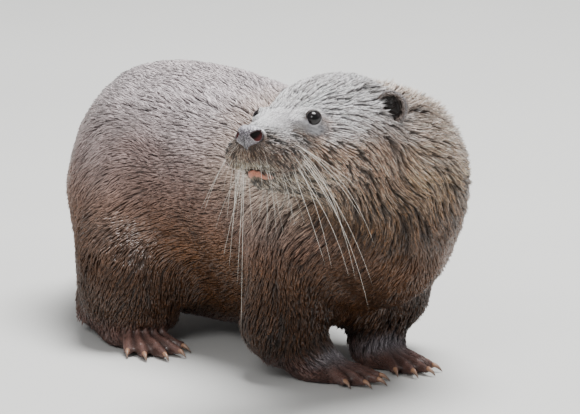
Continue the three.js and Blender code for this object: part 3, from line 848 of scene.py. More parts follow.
def coat_values(points, bones):
    """The values of COAT at each point."""
    total = np.zeros((len(points), len(COLUMNS)))
    sums = np.zeros(len(points))
    for name, (near, *_) in bones.items():
        weight = np.exp(-9 * np.clip(near - 0.9, 0, 3))
        total += weight[:, None] * np.array(COAT[kind_of(name)])
        sums += weight
    values = total / np.maximum(sums, 1e-30)[:, None]
    head = into_head(points)
    x, y, z = head.T
    side = np.abs(y)

    def blend(share, **wanted):
        for name, value in wanted.items():
            k = COLUMNS.index(name)
            values[:, k] = mix(values[:, k], value, share)

    on_head = step(z, -70, -50)
    nape = step(-x, 15, 40) * step(z, -20, 5) * (x > -90)
    blend(nape, tip=3.6, middle=2.7, pull=0.93)
    cheek = step(x, 5, 40) * on_head
    blend(cheek, long=6.8, wide=0.56, many=1.25, middle=1.2, tip=1.0, lock=12, gap=2.0, slit=0.88, bright=3.8)
    fore = step(x, 52, 76) * on_head
    blend(
        fore, long=5.4, wide=0.58, many=1.0, middle=1.0, tip=1.1, lock=7, gap=2.3, pull=0.93, slit=0.98,
        bright=6,
    )
    crown = step(z + 0.18 * side, 0, 22) * step(x, -40, 0)
    blend(crown, wide=0.52, slit=0.78, bright=4.6)
    top = step(z + 0.18 * side, -3, 8) * step(x, 50, 76)
    blend(top, long=2.8, wide=0.42, many=2.0, tip=0.4, lock=5, slit=0.24, bright=1.15, pull=0.4)
    _, long, polar = from_eye(head)
    blend(1 - step(long, 8, 14), long=1.9, wide=0.36, many=2.4, tip=0.35, lock=4, slit=0.35, bright=1.15)
    bare = round_place(head, (60, 29, -1), (11, 7, 4.5))
    blend(np.minimum(1, 1.3 * bare), long=1.6, wide=0.34, tip=0.2, slit=0.15, bright=1.1)
    # weaker painted highlights on the tips low down
    blend(step(-points[:, 2], -0.175, -0.115), bright=1.25)
    on_toes = toes(points)[0]
    blend(on_toes, long=3.0, wide=0.42, tip=0.25, middle=0.3)
    values[:, MANY] *= 1 - 0.7 * on_toes
    front = step(x, 99, 105)
    blend(front, long=3.2, wide=0.52, many=1.3, tip=0.6, lock=4.5, gap=1.9)

    slit, lip = mouth_parts(head)[:2]
    left = on_left(head)
    none = ((polar < 64) & (long < 13)) | (bones["head"][0] < 0.3)
    pad = (left - NOSE) / (NOSE_RADII + 0.4)
    pad[:, 1] /= 1 - 0.3 * step(-pad[:, 2], 0.1, 0.95)
    none |= (pad**2).sum(1) < 1
    none |= (((left - EAR + (2, 0, 0)) / (EAR_RADII * 0.95)) ** 2).sum(1) < 1
    none |= (x > 50) & ((slit > 0.3) | (lip > 0.35))
    none |= points[:, 2] < 1.2 * MM
    values[none, MANY] = 0
    return values


# Where the body's parts start along the map. The limbs' own places are in a row below them.
BODY_CHARTS = {"head": 0.0, "neck": 0.125, "trunk": 0.25, "tail": 0.60}


def unwrap(points, bones):
    """A place on a flat map for each point of the skin: along each part and round it."""
    limbs = [name for name in BONES if name not in BODY_CHARTS]
    charts = {name: (start + 0.002, 0.95, 0.30, 0.68) for name, start in BODY_CHARTS.items()}
    charts |= {name: (0.125 * i + 0.004, 0.6, 0.01, 0.25) for i, name in enumerate(limbs)}
    uv = np.zeros((len(points), 2))
    best = np.full(len(points), np.inf)
    for name, (near, way, far, foot) in bones.items():
        closer = near < best
        best = np.where(closer, near, best)
        arm = points - foot
        side = unit(np.cross(way, (0.0, 0.0, 1.0)))
        high = np.cross(side, way)
        angle = np.arctan2((arm * side).sum(1), (arm * high).sum(1)) / (2 * math.pi) + 0.5
        left, long, low, tall = charts[name]
        forward = far if name != "head" else 0.11 - far
        uv[closer] = np.stack([left + np.clip(forward, 0, None) * long, low + tall * angle], 1)[closer]
    return np.clip(uv, 0.002, 0.995)


def scatter(tris, co, density):
    """Random places on the triangles, so many to a square mm: each has its triangle's corners and its
    shares of them."""
    a, b, c = (co[tris[:, k]] for k in range(3))
    area = np.linalg.norm(np.cross(b - a, c - a), axis=1) / 2 / MM**2
    wanted = area * density[tris].min(1)
    count = np.floor(wanted + rng.random(len(wanted))).astype(int)
    corners = np.repeat(tris, count, 0)
    r1 = np.sqrt(rng.random(len(corners)))
    r2 = rng.random(len(corners))
    return corners, np.stack([1 - r1, r1 * (1 - r2), r1 * r2], 1)


def at(values, spots):
    """The values of the points, at places between them."""
    corners, shares = spots
    if values.ndim == 1:
        return (values[corners] * shares).sum(1)
    return (values[corners] * shares[:, :, None]).sum(1)


# The faces of each kind of tuft, and where its corners lie in its patch of the flat map.
BENT = np.array([
    (0, 2, 5), (0, 5, 3), (2, 1, 4), (2, 4, 5), (1, 0, 3), (1, 3, 4), (0, 1, 2),
    (3, 5, 6), (5, 4, 6), (4, 3, 6),
])
STRAIGHT = np.array([(0, 1, 2), (0, 2, 3), (2, 1, 3), (1, 0, 3)])
BENT_CORNERS = np.array([(-1, -1), (1, -1), (0, -1), (-1, 0), (1, 0), (0, 0), (0, 1)])
STRAIGHT_CORNERS = np.array([(-1, -1), (1, -1), (0, 0), (0, 1)])
PATCH = 0.003  # a patch's side
HIGHLIGHT_WHITE = np.array([0.165, 0.150, 0.135])  # the painted highlight that the brightest tips add
LUMA = np.array([0.21, 0.72, 0.07])  # how bright each of the three colours seems
BRIGHTEST = 0.9


def shape_tufts(kind, root, normal, way, middle, tip, wide):
    """The points of tufts: three round the root, three round the middle of a bent one, and the tip."""
    side = unit(np.cross(normal, way))
    w = (wide * 0.5)[:, None]
    if kind is STRAIGHT:
        base = root - normal * (w * 0.6)
        return np.stack([base + side * w, base - side * w, base + normal * w * 1.6, tip], 1)
    thick = normal * (w * 0.7)
    base = root - normal * (w * 0.8)
    return np.stack([
        base + side * w * 0.8, base - side * w * 0.8, base + thick,
        middle + side * w, middle - side * w, middle + thick,
        tip,
    ], 1)


def tuft_colours(kind, colour, bright):
    """Painted shade at the root and at the sides, lighter along the top, and a painted highlight at the tip,
    where the brightest are nearly white.
    """
    pale = np.clip(colour @ LUMA / 0.07, 0, 1)
    glint = (np.clip(bright - 1.8, 0, 4) * pale)[:, None] * HIGHLIGHT_WHITE
    tip = colour * np.minimum(bright, 2.0)[:, None] + glint
    if kind is BENT:
        rows = [colour * k for k in (0.35, 0.35, 0.5, 0.72, 0.72)] + [colour * 1.08 + glint * 0.45]
    else:
        rows = [colour * 0.5, colour * 0.5, colour * 0.9 + glint * 0.3]
    return np.minimum(np.stack([*rows, tip], 1), BRIGHTEST)


def add_tufts(name, kind, points, colours, uv, material):
    """A piece of tufts, whose patches lie round their places on the flat map."""
    points[..., 2] = np.maximum(points[..., 2], COAT_OFF_GROUND)
    faces = kind[None] + np.arange(len(points))[:, None, None] * points.shape[1]
    corners = BENT_CORNERS if kind is BENT else STRAIGHT_CORNERS
    piece = new_piece(name, points, faces, colours, uv[:, None] + corners[None] * (PATCH / 2))
    finish_piece(piece, material, "coat")


def make_tree(points):
    tree = kdtree.KDTree(len(points))
    for i, p in enumerate(points):
        tree.insert(p, i)
    tree.balance()
    return tree


def nearest_of(tree, points):
    return np.array([tree.find(p)[1] for p in points])


def lay_locks(roots, ways, reach, tree, co, normals, flow):
    """Lines that each run from a root over the skin, the way that the coat runs there."""
    lines = np.empty((len(roots), LOCK_POINTS, 3))
    lines[:, 0] = roots
    p, way = roots, ways
    for k in range(1, LOCK_POINTS):
        p = p + way * (reach / (LOCK_POINTS - 1))[:, None]
        near = nearest_of(tree, p)
        n = normals[near]
        p = p - n * ((p - co[near]) * n).sum(1)[:, None]
        way = way * 0.4 + flow[near] * 0.6
        way = unit(along_surface(way, n))
        lines[:, k] = p
    return lines


def along_line(lines, share):
    """The place at a share of each line's length, a little past its end too."""
    far = np.clip(share, 0, PAST_END) * (LOCK_POINTS - 1)
    k = np.minimum(far.astype(int), LOCK_POINTS - 2)
    t = (far - k)[:, None]
    rows = np.arange(len(lines))
    return lines[rows, k] * (1 - t) + lines[rows, k + 1] * t


GROUPS = ["head", "neck", "trunk", "limbs"]  # the pieces of the coat: the tail goes with the limbs


def gather(root, way, value, thin, surface):
    """Lays locks over the skin, each of which draws in the tufts beside it. Returns their lines, then for
    each tuft the number of its lock, how far along the lock its root is, as a share, and how far across."""
    share = 1 / (value[:, GAP] * value[:, LOCK] * 0.5 * np.maximum(value[:, MANY] * thin, 0.01))
    chosen = np.flatnonzero(rng.random(len(root)) < share)
    reach = value[chosen, LOCK] * MM * rng.uniform(0.75, 1.2, len(chosen))
    lines = lay_locks(root[chosen], way[chosen], reach, make_tree(surface[0]), *surface)
    found = nearest_of(make_tree(lines.reshape(-1, 3)), root)
    lock, k = found // LOCK_POINTS, found % LOCK_POINTS
    line = lines[lock]
    rows = np.arange(len(root))
    ahead = line[rows, np.minimum(k + 1, LOCK_POINTS - 1)] - line[rows, np.maximum(k - 1, 0)]
    stretch = np.linalg.norm(line[:, 1] - line[:, 0], axis=1)
    share = (k + ((root - line[rows, k]) * unit(ahead)).sum(1) / stretch) / (LOCK_POINTS - 1)
    share = np.clip(share, 0, 1)
    return lines, lock, share, np.linalg.norm(root - along_line(line, share), axis=1)


def lay_tufts(root, normal, way, value, thin, line, share):
    """Lays each tuft along its way, draws it in to its lock and lifts it: its root, the normal there, its
    way, the places of its middle and its tip, and its width."""
    count = len(root)
    long = value[:, LONG] * MM * rng.uniform(0.7, 1.25, count)
    wide = value[:, WIDE] * MM * rng.uniform(0.7, 1.3, count) / math.sqrt(thin)
    spread = rng.normal(0, 0.10, count)
    way = way * np.cos(spread)[:, None] + np.cross(normal, way) * np.sin(spread)[:, None]
    stretch = np.linalg.norm(line[:, 1] - line[:, 0], axis=1)
    farther = long / (stretch * (LOCK_POINTS - 1))
    pull = np.clip(value[:, PULL] * rng.uniform(0.7, 1.15, count), 0, 0.96)
    half = root + way * (long * 0.5)[:, None]
    end = root + way * long[:, None]
    half = half + (along_line(line, share + farther / 2) - half) * (pull * 0.6)[:, None]
    end = end + (along_line(line, share + farther) - end) * pull[:, None]
    proud = 1 + 0.7 * step(share + farther, 0.85, 1.15)
    half = half + normal * (value[:, MIDDLE] * MM * rng.uniform(0.6, 1.3, count))[:, None]
    end = end + normal * (value[:, TIP] * MM * rng.uniform(0.4, 1.5, count) * proud)[:, None]
    return root, normal, way, half, end, wide


def shade_tufts(tint, value, locks, lock, share, across):
    """Each tuft's colour, with painted shade between the locks and towards their roots, and the strength of
    the painted highlight on its tip. No two locks or tufts are quite the same."""
    slit = value[:, SLIT_SHADE]
    lock_shade = 1 + rng.normal(size=locks)[lock] * (0.04 + 0.26 * slit)
    shade = lock_shade * (1 + rng.normal(size=len(tint)) * (0.03 + 0.24 * slit))
    # painted shade between the locks
    shade *= 1 - slit * step(across / (value[:, GAP] * MM * DARK_AT), 0.25, 1.0)
    # painted shade towards a lock's root, lighter towards its end
    shade *= 1 + 0.5 * slit * (share - 0.5)
    # the strength of the painted highlight on the tip
    bright = 1 + (value[:, TIP_HIGHLIGHT] - 1) * 2.4 * rng.random(len(tint)) ** 1.7
    return tint * np.clip(shade, 0.10, 2.0)[:, None], bright


GROUPS = ["head", "neck", "trunk", "limbs"]  # the pieces of the coat: the tail goes with the limbs


def make_coat(skin, material):
    mesh = skin.data
    co = read_mesh(mesh)
    normals = read_normals(mesh)
    bones = along_bones(co)
    flow = unit(soften(mesh, flow_of(co, normals, bones), np.full(len(co), 0.5), FLOW_ROUNDS))
    values = coat_values(co, bones)
    thin = 1.0
    spots = scatter(read_triangles(mesh), co, values[:, MANY] * thin)
    root, way, value, tint = (at(v, spots) for v in (co, flow, values, markings_sheen_and_shade(co, normals, bones)))
    normal = unit(at(normals, spots))
    way = unit(along_surface(way, normal))
    lines, lock, share, across = gather(root, way, value, thin, (co, normals, flow))
    laid = lay_tufts(root, normal, way, value, thin, lines[lock], share)
    tint, bright = shade_tufts(tint, value, len(lines), lock, share, across)

    first = spots[0][:, 0]
    uv = unwrap(co, bones)[first]
    nearest = np.argmin(np.stack([near for near, *_ in bones.values()]), 0)[first]
    group = np.array([name if name in GROUPS else "limbs" for name in bones])[nearest]
    fine = (value[:, LONG] < FINE) & (group != "trunk")
    for label in GROUPS:
        for kind, kind_name, most in ((BENT, "long", MOST_BENT), (STRAIGHT, "short", MOST_FINE)):
            some = np.flatnonzero((group == label) & (fine == (kind is STRAIGHT)))
            if len(some) == 0:
                continue
            some = some[np.argsort(uv[some, 0], kind="stable")]
            for number, few in enumerate(np.array_split(some, math.ceil(len(some) / most))):
                points = shape_tufts(kind, *(v[few] for v in laid))
                colours = tuft_colours(kind, tint[few], bright[few])
                add_tufts(f"coat_{label}_{kind_name}_{number + 1}", kind, points, colours, uv[few], material)


# ---- eyes and lids

def eye_frame(side):
    """The eye's middle and its axes in the head: out along the gaze, along the slit, and up."""
    out = GAZE * (1, side, 1)
    slit = unit(np.cross((0, 0, 1.0), out)) * -side
    slit = unit(slit + np.array([0, 0, -0.22]))
    slit = unit(slit - out * (slit @ out))
    up = np.cross(slit, out) * side
    if up[2] < 0:
        up = -up
    return EYE * (1, side, 1), out, slit, up


EYE_RINGS, EYE_COLUMNS, LID_COLUMNS = 40, 48, 64
EYE_BLACK = linear(9, 7, 8)
IRIS_BROWN = linear(26, 20, 22)
EYE_EDGE = linear(78, 76, 90)


def make_eye(name, side, material):
    centre, out, slit, up = eye_frame(side)
    polar = np.linspace(0.0, math.pi, EYE_RINGS)[:, None]
    angle = turn_of(EYE_COLUMNS)[None]
    bulge = 1 + 0.035 * np.exp(-((polar / 0.62) ** 4))  # of the clear front
    axes = np.stack([slit, up * side, out])
    ball = np.stack([
        np.sin(polar) * np.cos(angle), np.sin(polar) * np.sin(angle), np.cos(polar) * np.ones_like(angle),
    ], -1) * bulge[..., None]
    points = centre + ball.reshape(-1, 3) @ axes * EYE_RADIUS
    polar = np.repeat(polar[:, 0], EYE_COLUMNS)
    across = np.sin(polar) + (polar > math.pi / 2)
    colour = layered(
        EYE_BLACK,
        (IRIS_BROWN, step(across, 0.34, 0.40) * (1 - step(across, 0.64, 0.72))),
        (EYE_EDGE, step(across, 0.76, 0.84) * 0.8),
    )
    faces = grid_faces(EYE_RINGS, EYE_COLUMNS)
    if side > 0:
        faces = faces[:, ::-1]
    obj = new_piece(f"eyeball_{name}", from_head(points), faces, colour)
    weld(obj, SAME_PLACE)
    finish_piece(obj, material, "eye", f"eye_{name}")


# A lid's outline: radius beyond the eyeball in mm, angle beyond the lid's margin in degrees, and how much of
# the lid's own colour shows over the painted shade.
LID_PROFILE = [
    (-0.6, 3, 0), (0.10, -1.2, 0), (0.40, -0.4, 0.05), (0.62, 2.5, 0.45), (0.68, 7, 0.9), (0.45, 13, 1),
    (-0.5, 19, 1), (-1.4, 12, 0),
]
LID_WET = 0.5


def make_lids(name, side, material):
    centre, out, slit, up = eye_frame(side)
    angle = turn_of(LID_COLUMNS)
    forward = np.cos(angle)
    margin = np.radians(
        APERTURE + 3 * np.abs(forward) ** 6 + 4 * np.clip(forward, 0, 1) ** 8 - 2 * np.sin(angle) ** 2
    )
    around = np.cos(angle)[:, None] * slit + np.sin(angle)[:, None] * up
    # painted shade on the upper lid and a painted highlight on the wet lower rim
    outside = mix(SHADE_DARK * 2.0, BARE_AND_SHEEN_GREY, step(-np.sin(angle), -0.3, 0.4))
    rows, colours = [], []
    for beyond, wider, shade in LID_PROFILE:
        polar = margin + math.radians(wider)
        r = EYE_RADIUS + beyond
        rows.append(centre + r * (np.sin(polar)[:, None] * around + np.cos(polar)[:, None] * out))
        colours.append(mix(SHADE_DARK, outside, shade))
    faces = grid_faces(len(rows), LID_COLUMNS, True)
    obj = new_piece(f"lids_{name}", from_head(np.concatenate(rows)), faces, np.concatenate(colours))
    paint(obj.data, "wet", LID_WET)
    weld(obj, SAME_PLACE)
    finish_piece(obj, material, "nose_leather")


# ---- nose

NOSTRIL = np.array([4.9, 9.7, 1.4])  # the middle of the left one, from the pad's middle, in mm
NOSE_GREY = linear(76, 70, 76)
# painted highlights on the wet front of the pad
NOSE_GLINTS = linear(168, 164, 170)
# painted sheen on the top of the pad
NOSE_TOP_SHEEN = linear(176, 174, 180)
# painted shade in the groove of the pad
NOSE_GROOVE_SHADE = linear(26, 22, 24)
NOSTRIL_EDGE = linear(140, 128, 128)
NOSTRIL_RED = linear(74, 22, 20)
# painted shade deep in the nostrils
NOSTRIL_SHADE = linear(12, 5, 5)


def make_nose(material):
    obj, n = new_ball("nose_pad", 6)
    p = n * NOSE_RADII
    side = np.abs(n[:, 1])
    # squarer in front, with a wavy top edge and a point below
    p[:, 0] *= 0.96
    p[:, 2] -= 2.4 * hump(p[:, 1], 3.0) * step(-n[:, 2], 0.1, 0.9)
    p[:, 2] += 0.9 * hump(side - 0.45, 0.25) * step(n[:, 2], 0.3, 0.9)
    p[:, 1] *= 1 - 0.26 * step(-n[:, 2], 0.1, 0.95)
    groove = hump(p[:, 1], 0.8) * step(n[:, 0], 0.2, 0.7) * step(-n[:, 2], -0.45, 0.35)
    # nostrils: wide and round, each drawn out backwards in a slit
    facing = unit(NOSTRIL / NOSE_RADII**2)
    along = unit(np.cross((0, 0, 1.0), facing))
    high = np.cross(facing, along)
    q = on_left(p) - NOSTRIL
    a, b = q @ along, q @ high
    b = b - 0.04 * a**2
    far = np.sqrt((a / 4.6) ** 2 + (b / np.clip(3.8 + 0.34 * a, 2.2, 5)) ** 2)
    near_front = step(q @ facing, -5, -2)
    pit = step(1.16 - far, 0, 0.34) * near_front
    rim = hump(far - 1.22, 0.16) * near_front
    sign = np.stack([np.ones(len(p)), np.sign(p[:, 1]), np.ones(len(p))], 1)
    deep = 2.6 * pit + 2.6 * np.clip(1 - far, 0, 1) * near_front
    p = p - sign * facing * (deep - 0.35 * rim)[:, None]
    p = p + n * (0.16 * waves(p, 1.7, 31, 16) * (1 - pit) - 0.7 * groove)[:, None]
    write_mesh(obj.data, from_head(p + NOSE))
    glints = step(waves(p, 1.5, 34, 14), 0.35, 0.8) * step(n[:, 0], 0.2, 0.5)
    colour = layered(
        NOSE_GREY * (1 + 0.4 * waves(p, 2.2, 32, 12))[:, None],
        # painted highlights on the front of the pad
        (NOSE_GLINTS, 0.55 * glints),
        # painted shade where the pad turns away from the front
        (SHADE_DARK * 1.5, 0.7 * (1 - step(n[:, 0], 0.1, 0.5))),
        (NOSE_TOP_SHEEN, step(n[:, 2] + 0.12 * waves(p, 3, 33, 12), 0.5, 0.8) * 0.9),
        (NOSTRIL_EDGE, rim * step(-b, 0, 3) * step(-a, -3, 1) * 0.7),
        (NOSTRIL_RED, step(pit, 0.2, 0.6)),
        (NOSTRIL_SHADE, step(pit, 0.4, 0.9) * step(b - 0.8 * a, -3.5, 0.5)),
        (NOSE_GROOVE_SHADE, groove),
    )
    paint(obj.data, "tint", np.clip(colour, 0.002, 1))
    paint(obj.data, "wet", 1 - step(pit, 0.05, 0.4))
    finish_piece(obj, material, "nose_leather", "nose")


# ---- ears

EAR_LEAN, EAR_SPLAY = math.radians(24), math.radians(38)


def ear_axes(side):
    lean = np.array(Matrix.Rotation(-EAR_LEAN, 3, "Y"))
    splay = np.array(Matrix.Rotation(-EAR_SPLAY * side, 3, "Z"))
    return splay @ lean


EAR_OPEN = unit(np.array([0.42, 1.0, -0.28]))  # the way the cup opens, in the ear's own axes
CUP_EDGE = 0.42  # the thin hair, darkened as painted shade, starts where the ball faces this way so much


def make_ear(name, side, skin_material, coat_material):
    obj, n = new_ball(f"ear_flap_{name}", 5)
    way = EAR_OPEN * (1, side, 1)
    facing = n @ way
    p = n * (EAR_RADII + (2.6, 1.0, 1.0)) - (2.4, 0, 0)
    cup = step(facing, 0.26, 0.50)
    p = p * (1 - 0.12 * cup)[:, None] - way * (7.5 * step(facing, 0.26, 0.80))[:, None]
    p += n * (0.35 * waves(n * 10, 5, 41) * cup)[:, None]
    write_mesh(obj.data, from_head(p @ ear_axes(side).T + EAR * (1, side, 1)))
    # painted shade inside the cup
    paint(obj.data, "tint", mix(FACE_BROWN * 0.2, SHADE_DARK * 0.7, cup))
    finish_piece(obj, skin_material, "coat", f"ear_{name}")
    ear_coat(obj, n, facing, side, name, coat_material)


def ear_coat(obj, n, facing, side, name, material):
    """Short hair on the back of the ear and round its rim, with a painted highlight on the rim, and thin hair
    inside, darkened as painted shade.
    """
    co = read_mesh(obj.data)
    density = np.where(facing < CUP_EDGE, 3.0, 0.8) * (n[:, 2] > -0.8)
    spots = scatter(read_triangles(obj.data), co, density)
    root, face, back = (at(v, spots) for v in (co, facing, step(-n[:, 0], 0.1, 0.7)))
    normal = unit(at(read_normals(obj.data), spots))
    up = turn_from_head([[-0.95, 0.1 * side, 0.35]])
    down = turn_from_head([[-0.75, 0.1 * side, -0.65]])
    way = along_surface(mix(up, down, back), normal)
    way = unit(unit(way) + rng.normal(0, 0.12, way.shape))
    count = len(root)
    long = rng.uniform(2.0, 3.6, count) * MM
    wide = rng.uniform(0.32, 0.50, count) * MM
    middle = root + way * (long / 2)[:, None] + normal * (0.3 * MM)
    tip = root + way * long[:, None] + normal * (rng.uniform(0.0, 0.4, count) * MM)[:, None]
    tint = layered(
        FACE_BROWN * 0.35 + FACE_SHEEN_GREY * 0.15,
        # painted highlight on the rim
        (BARE_AND_SHEEN_GREY * 0.42, hump(face - 0.24, 0.12) * 0.9),
        # painted shade on the hair inside the cup
        (SHADE_DARK * 2.0, step(face, CUP_EDGE, 0.55)),
    ) * rng.uniform(0.4, 1.3, (count, 1))
    colours = tuft_colours(BENT, tint, rng.uniform(1.1, 2.6, count))
    points = shape_tufts(BENT, root, normal, way, middle, tip, wide)
    add_tufts(f"coat_ear_{name}", BENT, points, colours, unwrap(root, along_bones(root)), material)


# ---- claws

CLAW_LENGTH, CLAW_RADIUS, CLAW_HEIGHT, CLAW_SUNK = 9.0, 1.9, 6.4, 2.0  # in mm
CLAW_RINGS, CLAW_SIDES = 9, 10
CLAW_BASE = linear(168, 128, 102)
CLAW_TIP = linear(112, 92, 80)


def make_claws(paw, material):
    """The claws of a paw: each runs on from the end of its digit and curves down."""
    shape = PAWS[paw][2]
    heel, turn = on_paw(paw, shape["palm"] - TOE_ROOT)
    side = SIDES[paw.split("_")[1]]
    share = np.linspace(0, 1, CLAW_RINGS)
    t = share[:, None]
    lines = []
    for i, length in enumerate(shape["digits"]):
        fan = math.radians((i - 2) * shape["fan"]) * -side + turn
        way = np.array([math.cos(fan), math.sin(fan), 0])
        base = np.append(heel, 0) + way * (length - CLAW_SUNK) + (0, 0, CLAW_HEIGHT)
        line = base + way * CLAW_LENGTH * t * 0.98 + np.array([0, 0, -1]) * (1.0 * t + 4.1 * t**2.2)
        lines.append((line + SHIFT) * MM)
    radii = np.tile(CLAW_RADIUS * (1 - share**1.6) ** 0.8 * MM, (len(lines), 1))
    points, faces = tubes(lines, radii, CLAW_SIDES)
    points[:, 2] = np.maximum(points[:, 2], COAT_OFF_GROUND)
    rest = np.tile(np.concatenate([[0], np.repeat(share[:-1], CLAW_SIDES), [1]]), len(lines))
    colour = mix(CLAW_BASE, CLAW_TIP, step(rest, 0.25, 0.85))
    obj = new_piece(f"claws_{paw}", points, faces, colour)
    weld(obj, SAME_PLACE)
    finish_piece(obj, material, "claw", *[f"claw_{paw}_{i + 1}" for i in range(len(lines))])


# ---- whiskers

WHISKER_RINGS, WHISKER_SIDES = 12, 5
WHISKER_RADIUS = 0.19  # in mm
WHISKERS_OUT = 0.280  # past this, along x, the whiskers curve back, by as much as WHISKERS_BEND
WHISKERS_BEND = 0.02
WHISKER_ROOTS = 1.2  # how far the roots lie under the tips of the coat, in mm
WHISKER_WHITE = linear(232, 226, 216)


def whisker_lines(roots, ways, lengths, droops):
    t = np.linspace(0, 1, WHISKER_RINGS)[None, :, None]
    lengths, droops = lengths[:, None, None], np.asarray(droops)[:, None, None]
    lines = roots[:, None] + unit(ways)[:, None] * lengths * t * (1 - 0.12 * droops * t)
    return lines + np.array([0, 0, -1.0]) * lengths * t**2 * droops


def on_skin(places):
    """Moves places in the head's frame on to its skin."""
    p = np.asarray(places, float)
    for _ in range(SURFACE_ROUNDS + 1):
        up = slope(skull_field, p)
        p = p - up * ((skull_field(p) + WHISKER_ROOTS) / np.maximum((up**2).sum(1), LEAST_SLOPE))[:, None]
    return p


def make_whiskers(material):
    grown = []

    def grow(root, way, length, droop):
        grown.append((root, way, length, droop))

    for side in SIDES.values():
        for row in range(4):
            for column in range(6):
                back = column / 5
                root = (
                    101 - 27 * back - 0.6 * row + rng.normal(0, 0.9), side * (8 + 22 * back),
                    -13.5 - 4.2 * row - 1.5 * back + rng.normal(0, 0.7),
                )
                slant = math.radians(72 - 34 * back - 11 * (1.5 - row) + rng.normal(0, 7))
                slant -= math.radians(26) * (1 - back) * rng.random() * (side < 0)
                forward = 0.5 * rng.random() * (side < 0)
                flat = unit(np.array([forward - 0.30 - 0.60 * back + rng.normal(0, 0.2), 0.62 * side, 0]))
                way = flat * math.cos(slant) + np.array([0, 0, -math.sin(slant)])
                length = rng.uniform(0.4, 1.0) * (20 + 74 * step(back, 0.0, 0.6))
                grow(root, way, length, rng.uniform(0.1, 0.7))
        for i in range(26):  # the short stiff hairs of the lip's edge
            x = 101 - 1.5 * i + rng.normal(0, 0.6)
            root = (x, side * (10 + 0.55 * i), -26.5 + rng.normal(0, 1.0))
            way = (-0.25 + rng.normal(0, 0.15), (0.25 + rng.normal(0, 0.1)) * side, -1)
            grow(root, way, rng.uniform(7, 19), 0.1)
    for i in range(10):  # under the chin
        root = (84 - 2.4 * i + rng.normal(0, 1), rng.normal(0, 5), -47)
        grow(root, (0.1 - 0.03 * i, rng.normal(0, 0.25), -1), rng.uniform(20, 38), 0.05)
    for side in SIDES.values():
        for k in range(3):  # over the eye
            grow(
                (66 - 4 * k, side * (17 + k), 16), (0.14 - 0.2 * k, side * 0.28, 0.9),
                rng.uniform(17, 28), 0.25,
            )
    roots, ways, lengths, droops = zip(*grown)
    lengths = np.array(lengths) * MM
    lines = whisker_lines(from_head(on_skin(roots)), turn_from_head(ways), lengths, droops)
    past = np.maximum(lines[..., 0] - WHISKERS_OUT, 0)
    lines[..., 0] -= past - WHISKERS_BEND * np.tanh(past / WHISKERS_BEND)
    thinner = (1 - 0.7 * np.linspace(0, 1, WHISKER_RINGS))[None]
    thick = np.clip(lengths / 0.05, 0.55, 1.1)[:, None] * WHISKER_RADIUS * MM * thinner
    points, faces = tubes(lines, thick, WHISKER_SIDES)
    obj = new_piece("whiskers", points, faces, np.tile(WHISKER_WHITE, (len(points), 1)))
    finish_piece(obj, material, "coat")


# ---- finishes

def feed(tree, node, inputs):
    """Links each of a node's inputs to a socket, or sets it to a value."""
    for name, value in inputs.items():
        if isinstance(value, bpy.types.NodeSocket):
            tree.links.new(value, node.inputs[name])
        else:
            node.inputs[name].default_value = value


def add_node(tree, kind, inputs=None, **settings):
    node = tree.nodes.new(f"ShaderNode{kind}")
    for name, value in settings.items():
        setattr(node, name, value)
    feed(tree, node, inputs or {})
    return node


def add_math(tree, kind, *values):
    return add_node(tree, "Math", dict(enumerate(values)), operation=kind).outputs["Value"]


def new_material(name):
    material = bpy.data.materials.new(name)
    material.use_nodes = True
    return material, material.node_tree, material.node_tree.nodes["Principled BSDF"]


WET_SCALE = 38  # of the noise that says where the coat is wet


def make_mottle():
    """A group of nodes that all the finishes share: fine noise mottles a tint and changes its roughness, and
    broad noise says where it is wet."""
    group = bpy.data.node_groups.new("mottle", "ShaderNodeTree")
    for name in ("Scale", "Contrast", "Roughness", "Change", "Driest", "Wettest"):
        group.interface.new_socket(name, in_out="INPUT", socket_type="NodeSocketFloat")
    group.interface.new_socket("Tint", in_out="INPUT", socket_type="NodeSocketColor")
    group.interface.new_socket("Colour", in_out="OUTPUT", socket_type="NodeSocketColor")
    for name in ("Rough", "Wetness", "Height"):
        group.interface.new_socket(name, in_out="OUTPUT", socket_type="NodeSocketFloat")
    given = group.nodes.new("NodeGroupInput").outputs
    where = add_node(group, "TexCoord").outputs["Object"]
    noise = add_node(group, "TexNoise", {"Vector": where, "Scale": given["Scale"], "Detail": 3})
    noise = noise.outputs["Fac"]
    swing = add_math(group, "MULTIPLY", add_math(group, "SUBTRACT", noise, 0.5), 4)
    shade = add_math(group, "MULTIPLY_ADD", swing, given["Contrast"], 1)
    mottled = add_node(group, "VectorMath", {0: given["Tint"], "Scale": shade}, operation="SCALE")
    broad = add_node(group, "TexNoise", {"Vector": where, "Scale": WET_SCALE}).outputs["Fac"]
    spread = add_node(group, "MapRange", {
        "Value": broad, "From Min": 0.35, "From Max": 0.65,
        "To Min": given["Driest"], "To Max": given["Wettest"],
    })
    feed(group, group.nodes.new("NodeGroupOutput"), {
        "Colour": mottled.outputs["Vector"],
        "Rough": add_math(group, "MULTIPLY_ADD", swing, given["Change"], given["Roughness"]),
        "Wetness": spread.outputs["Result"],
        "Height": noise,
    })
    return group


# For each finish: its name, the scale and the contrast of its mottling, its roughness and how much that
# changes, the wetness of the driest and the wettest places, the depth of its relief in mm, its specular
# level and the roughness of the water on it.
FINISHES = {
    "skin": ("skin under the coat", 900, 0.25, 0.50, 0.10, 0.1, 0.4, 0.4, 0.4, 0.2),
    "coat": ("wet coat", 650, 0.20, 0.38, 0.08, 0.15, 0.6, 0.05, 0.5, 0.28),
    "claw": ("claw", 1500, 0.20, 0.35, 0.08, 0.1, 0.4, 0.06, 0.5, 0.1),
    "whisker": ("whisker", 900, 0.12, 0.40, 0.05, 0.0, 0.2, 0.01, 0.5, 0.1),
    "eye": ("eye", 500, 0.15, 0.20, 0.02, 0.55, 0.7, 0.0, 0.1, 0.02),
    "nose": ("wet nose", 1100, 0.25, 0.34, 0.08, 0.5, 1.0, 0.3, 0.5, 0.10),
}
PEBBLE_SCALE = 1150  # of the nose's grain
DRY_ROUGHNESS = 0.55


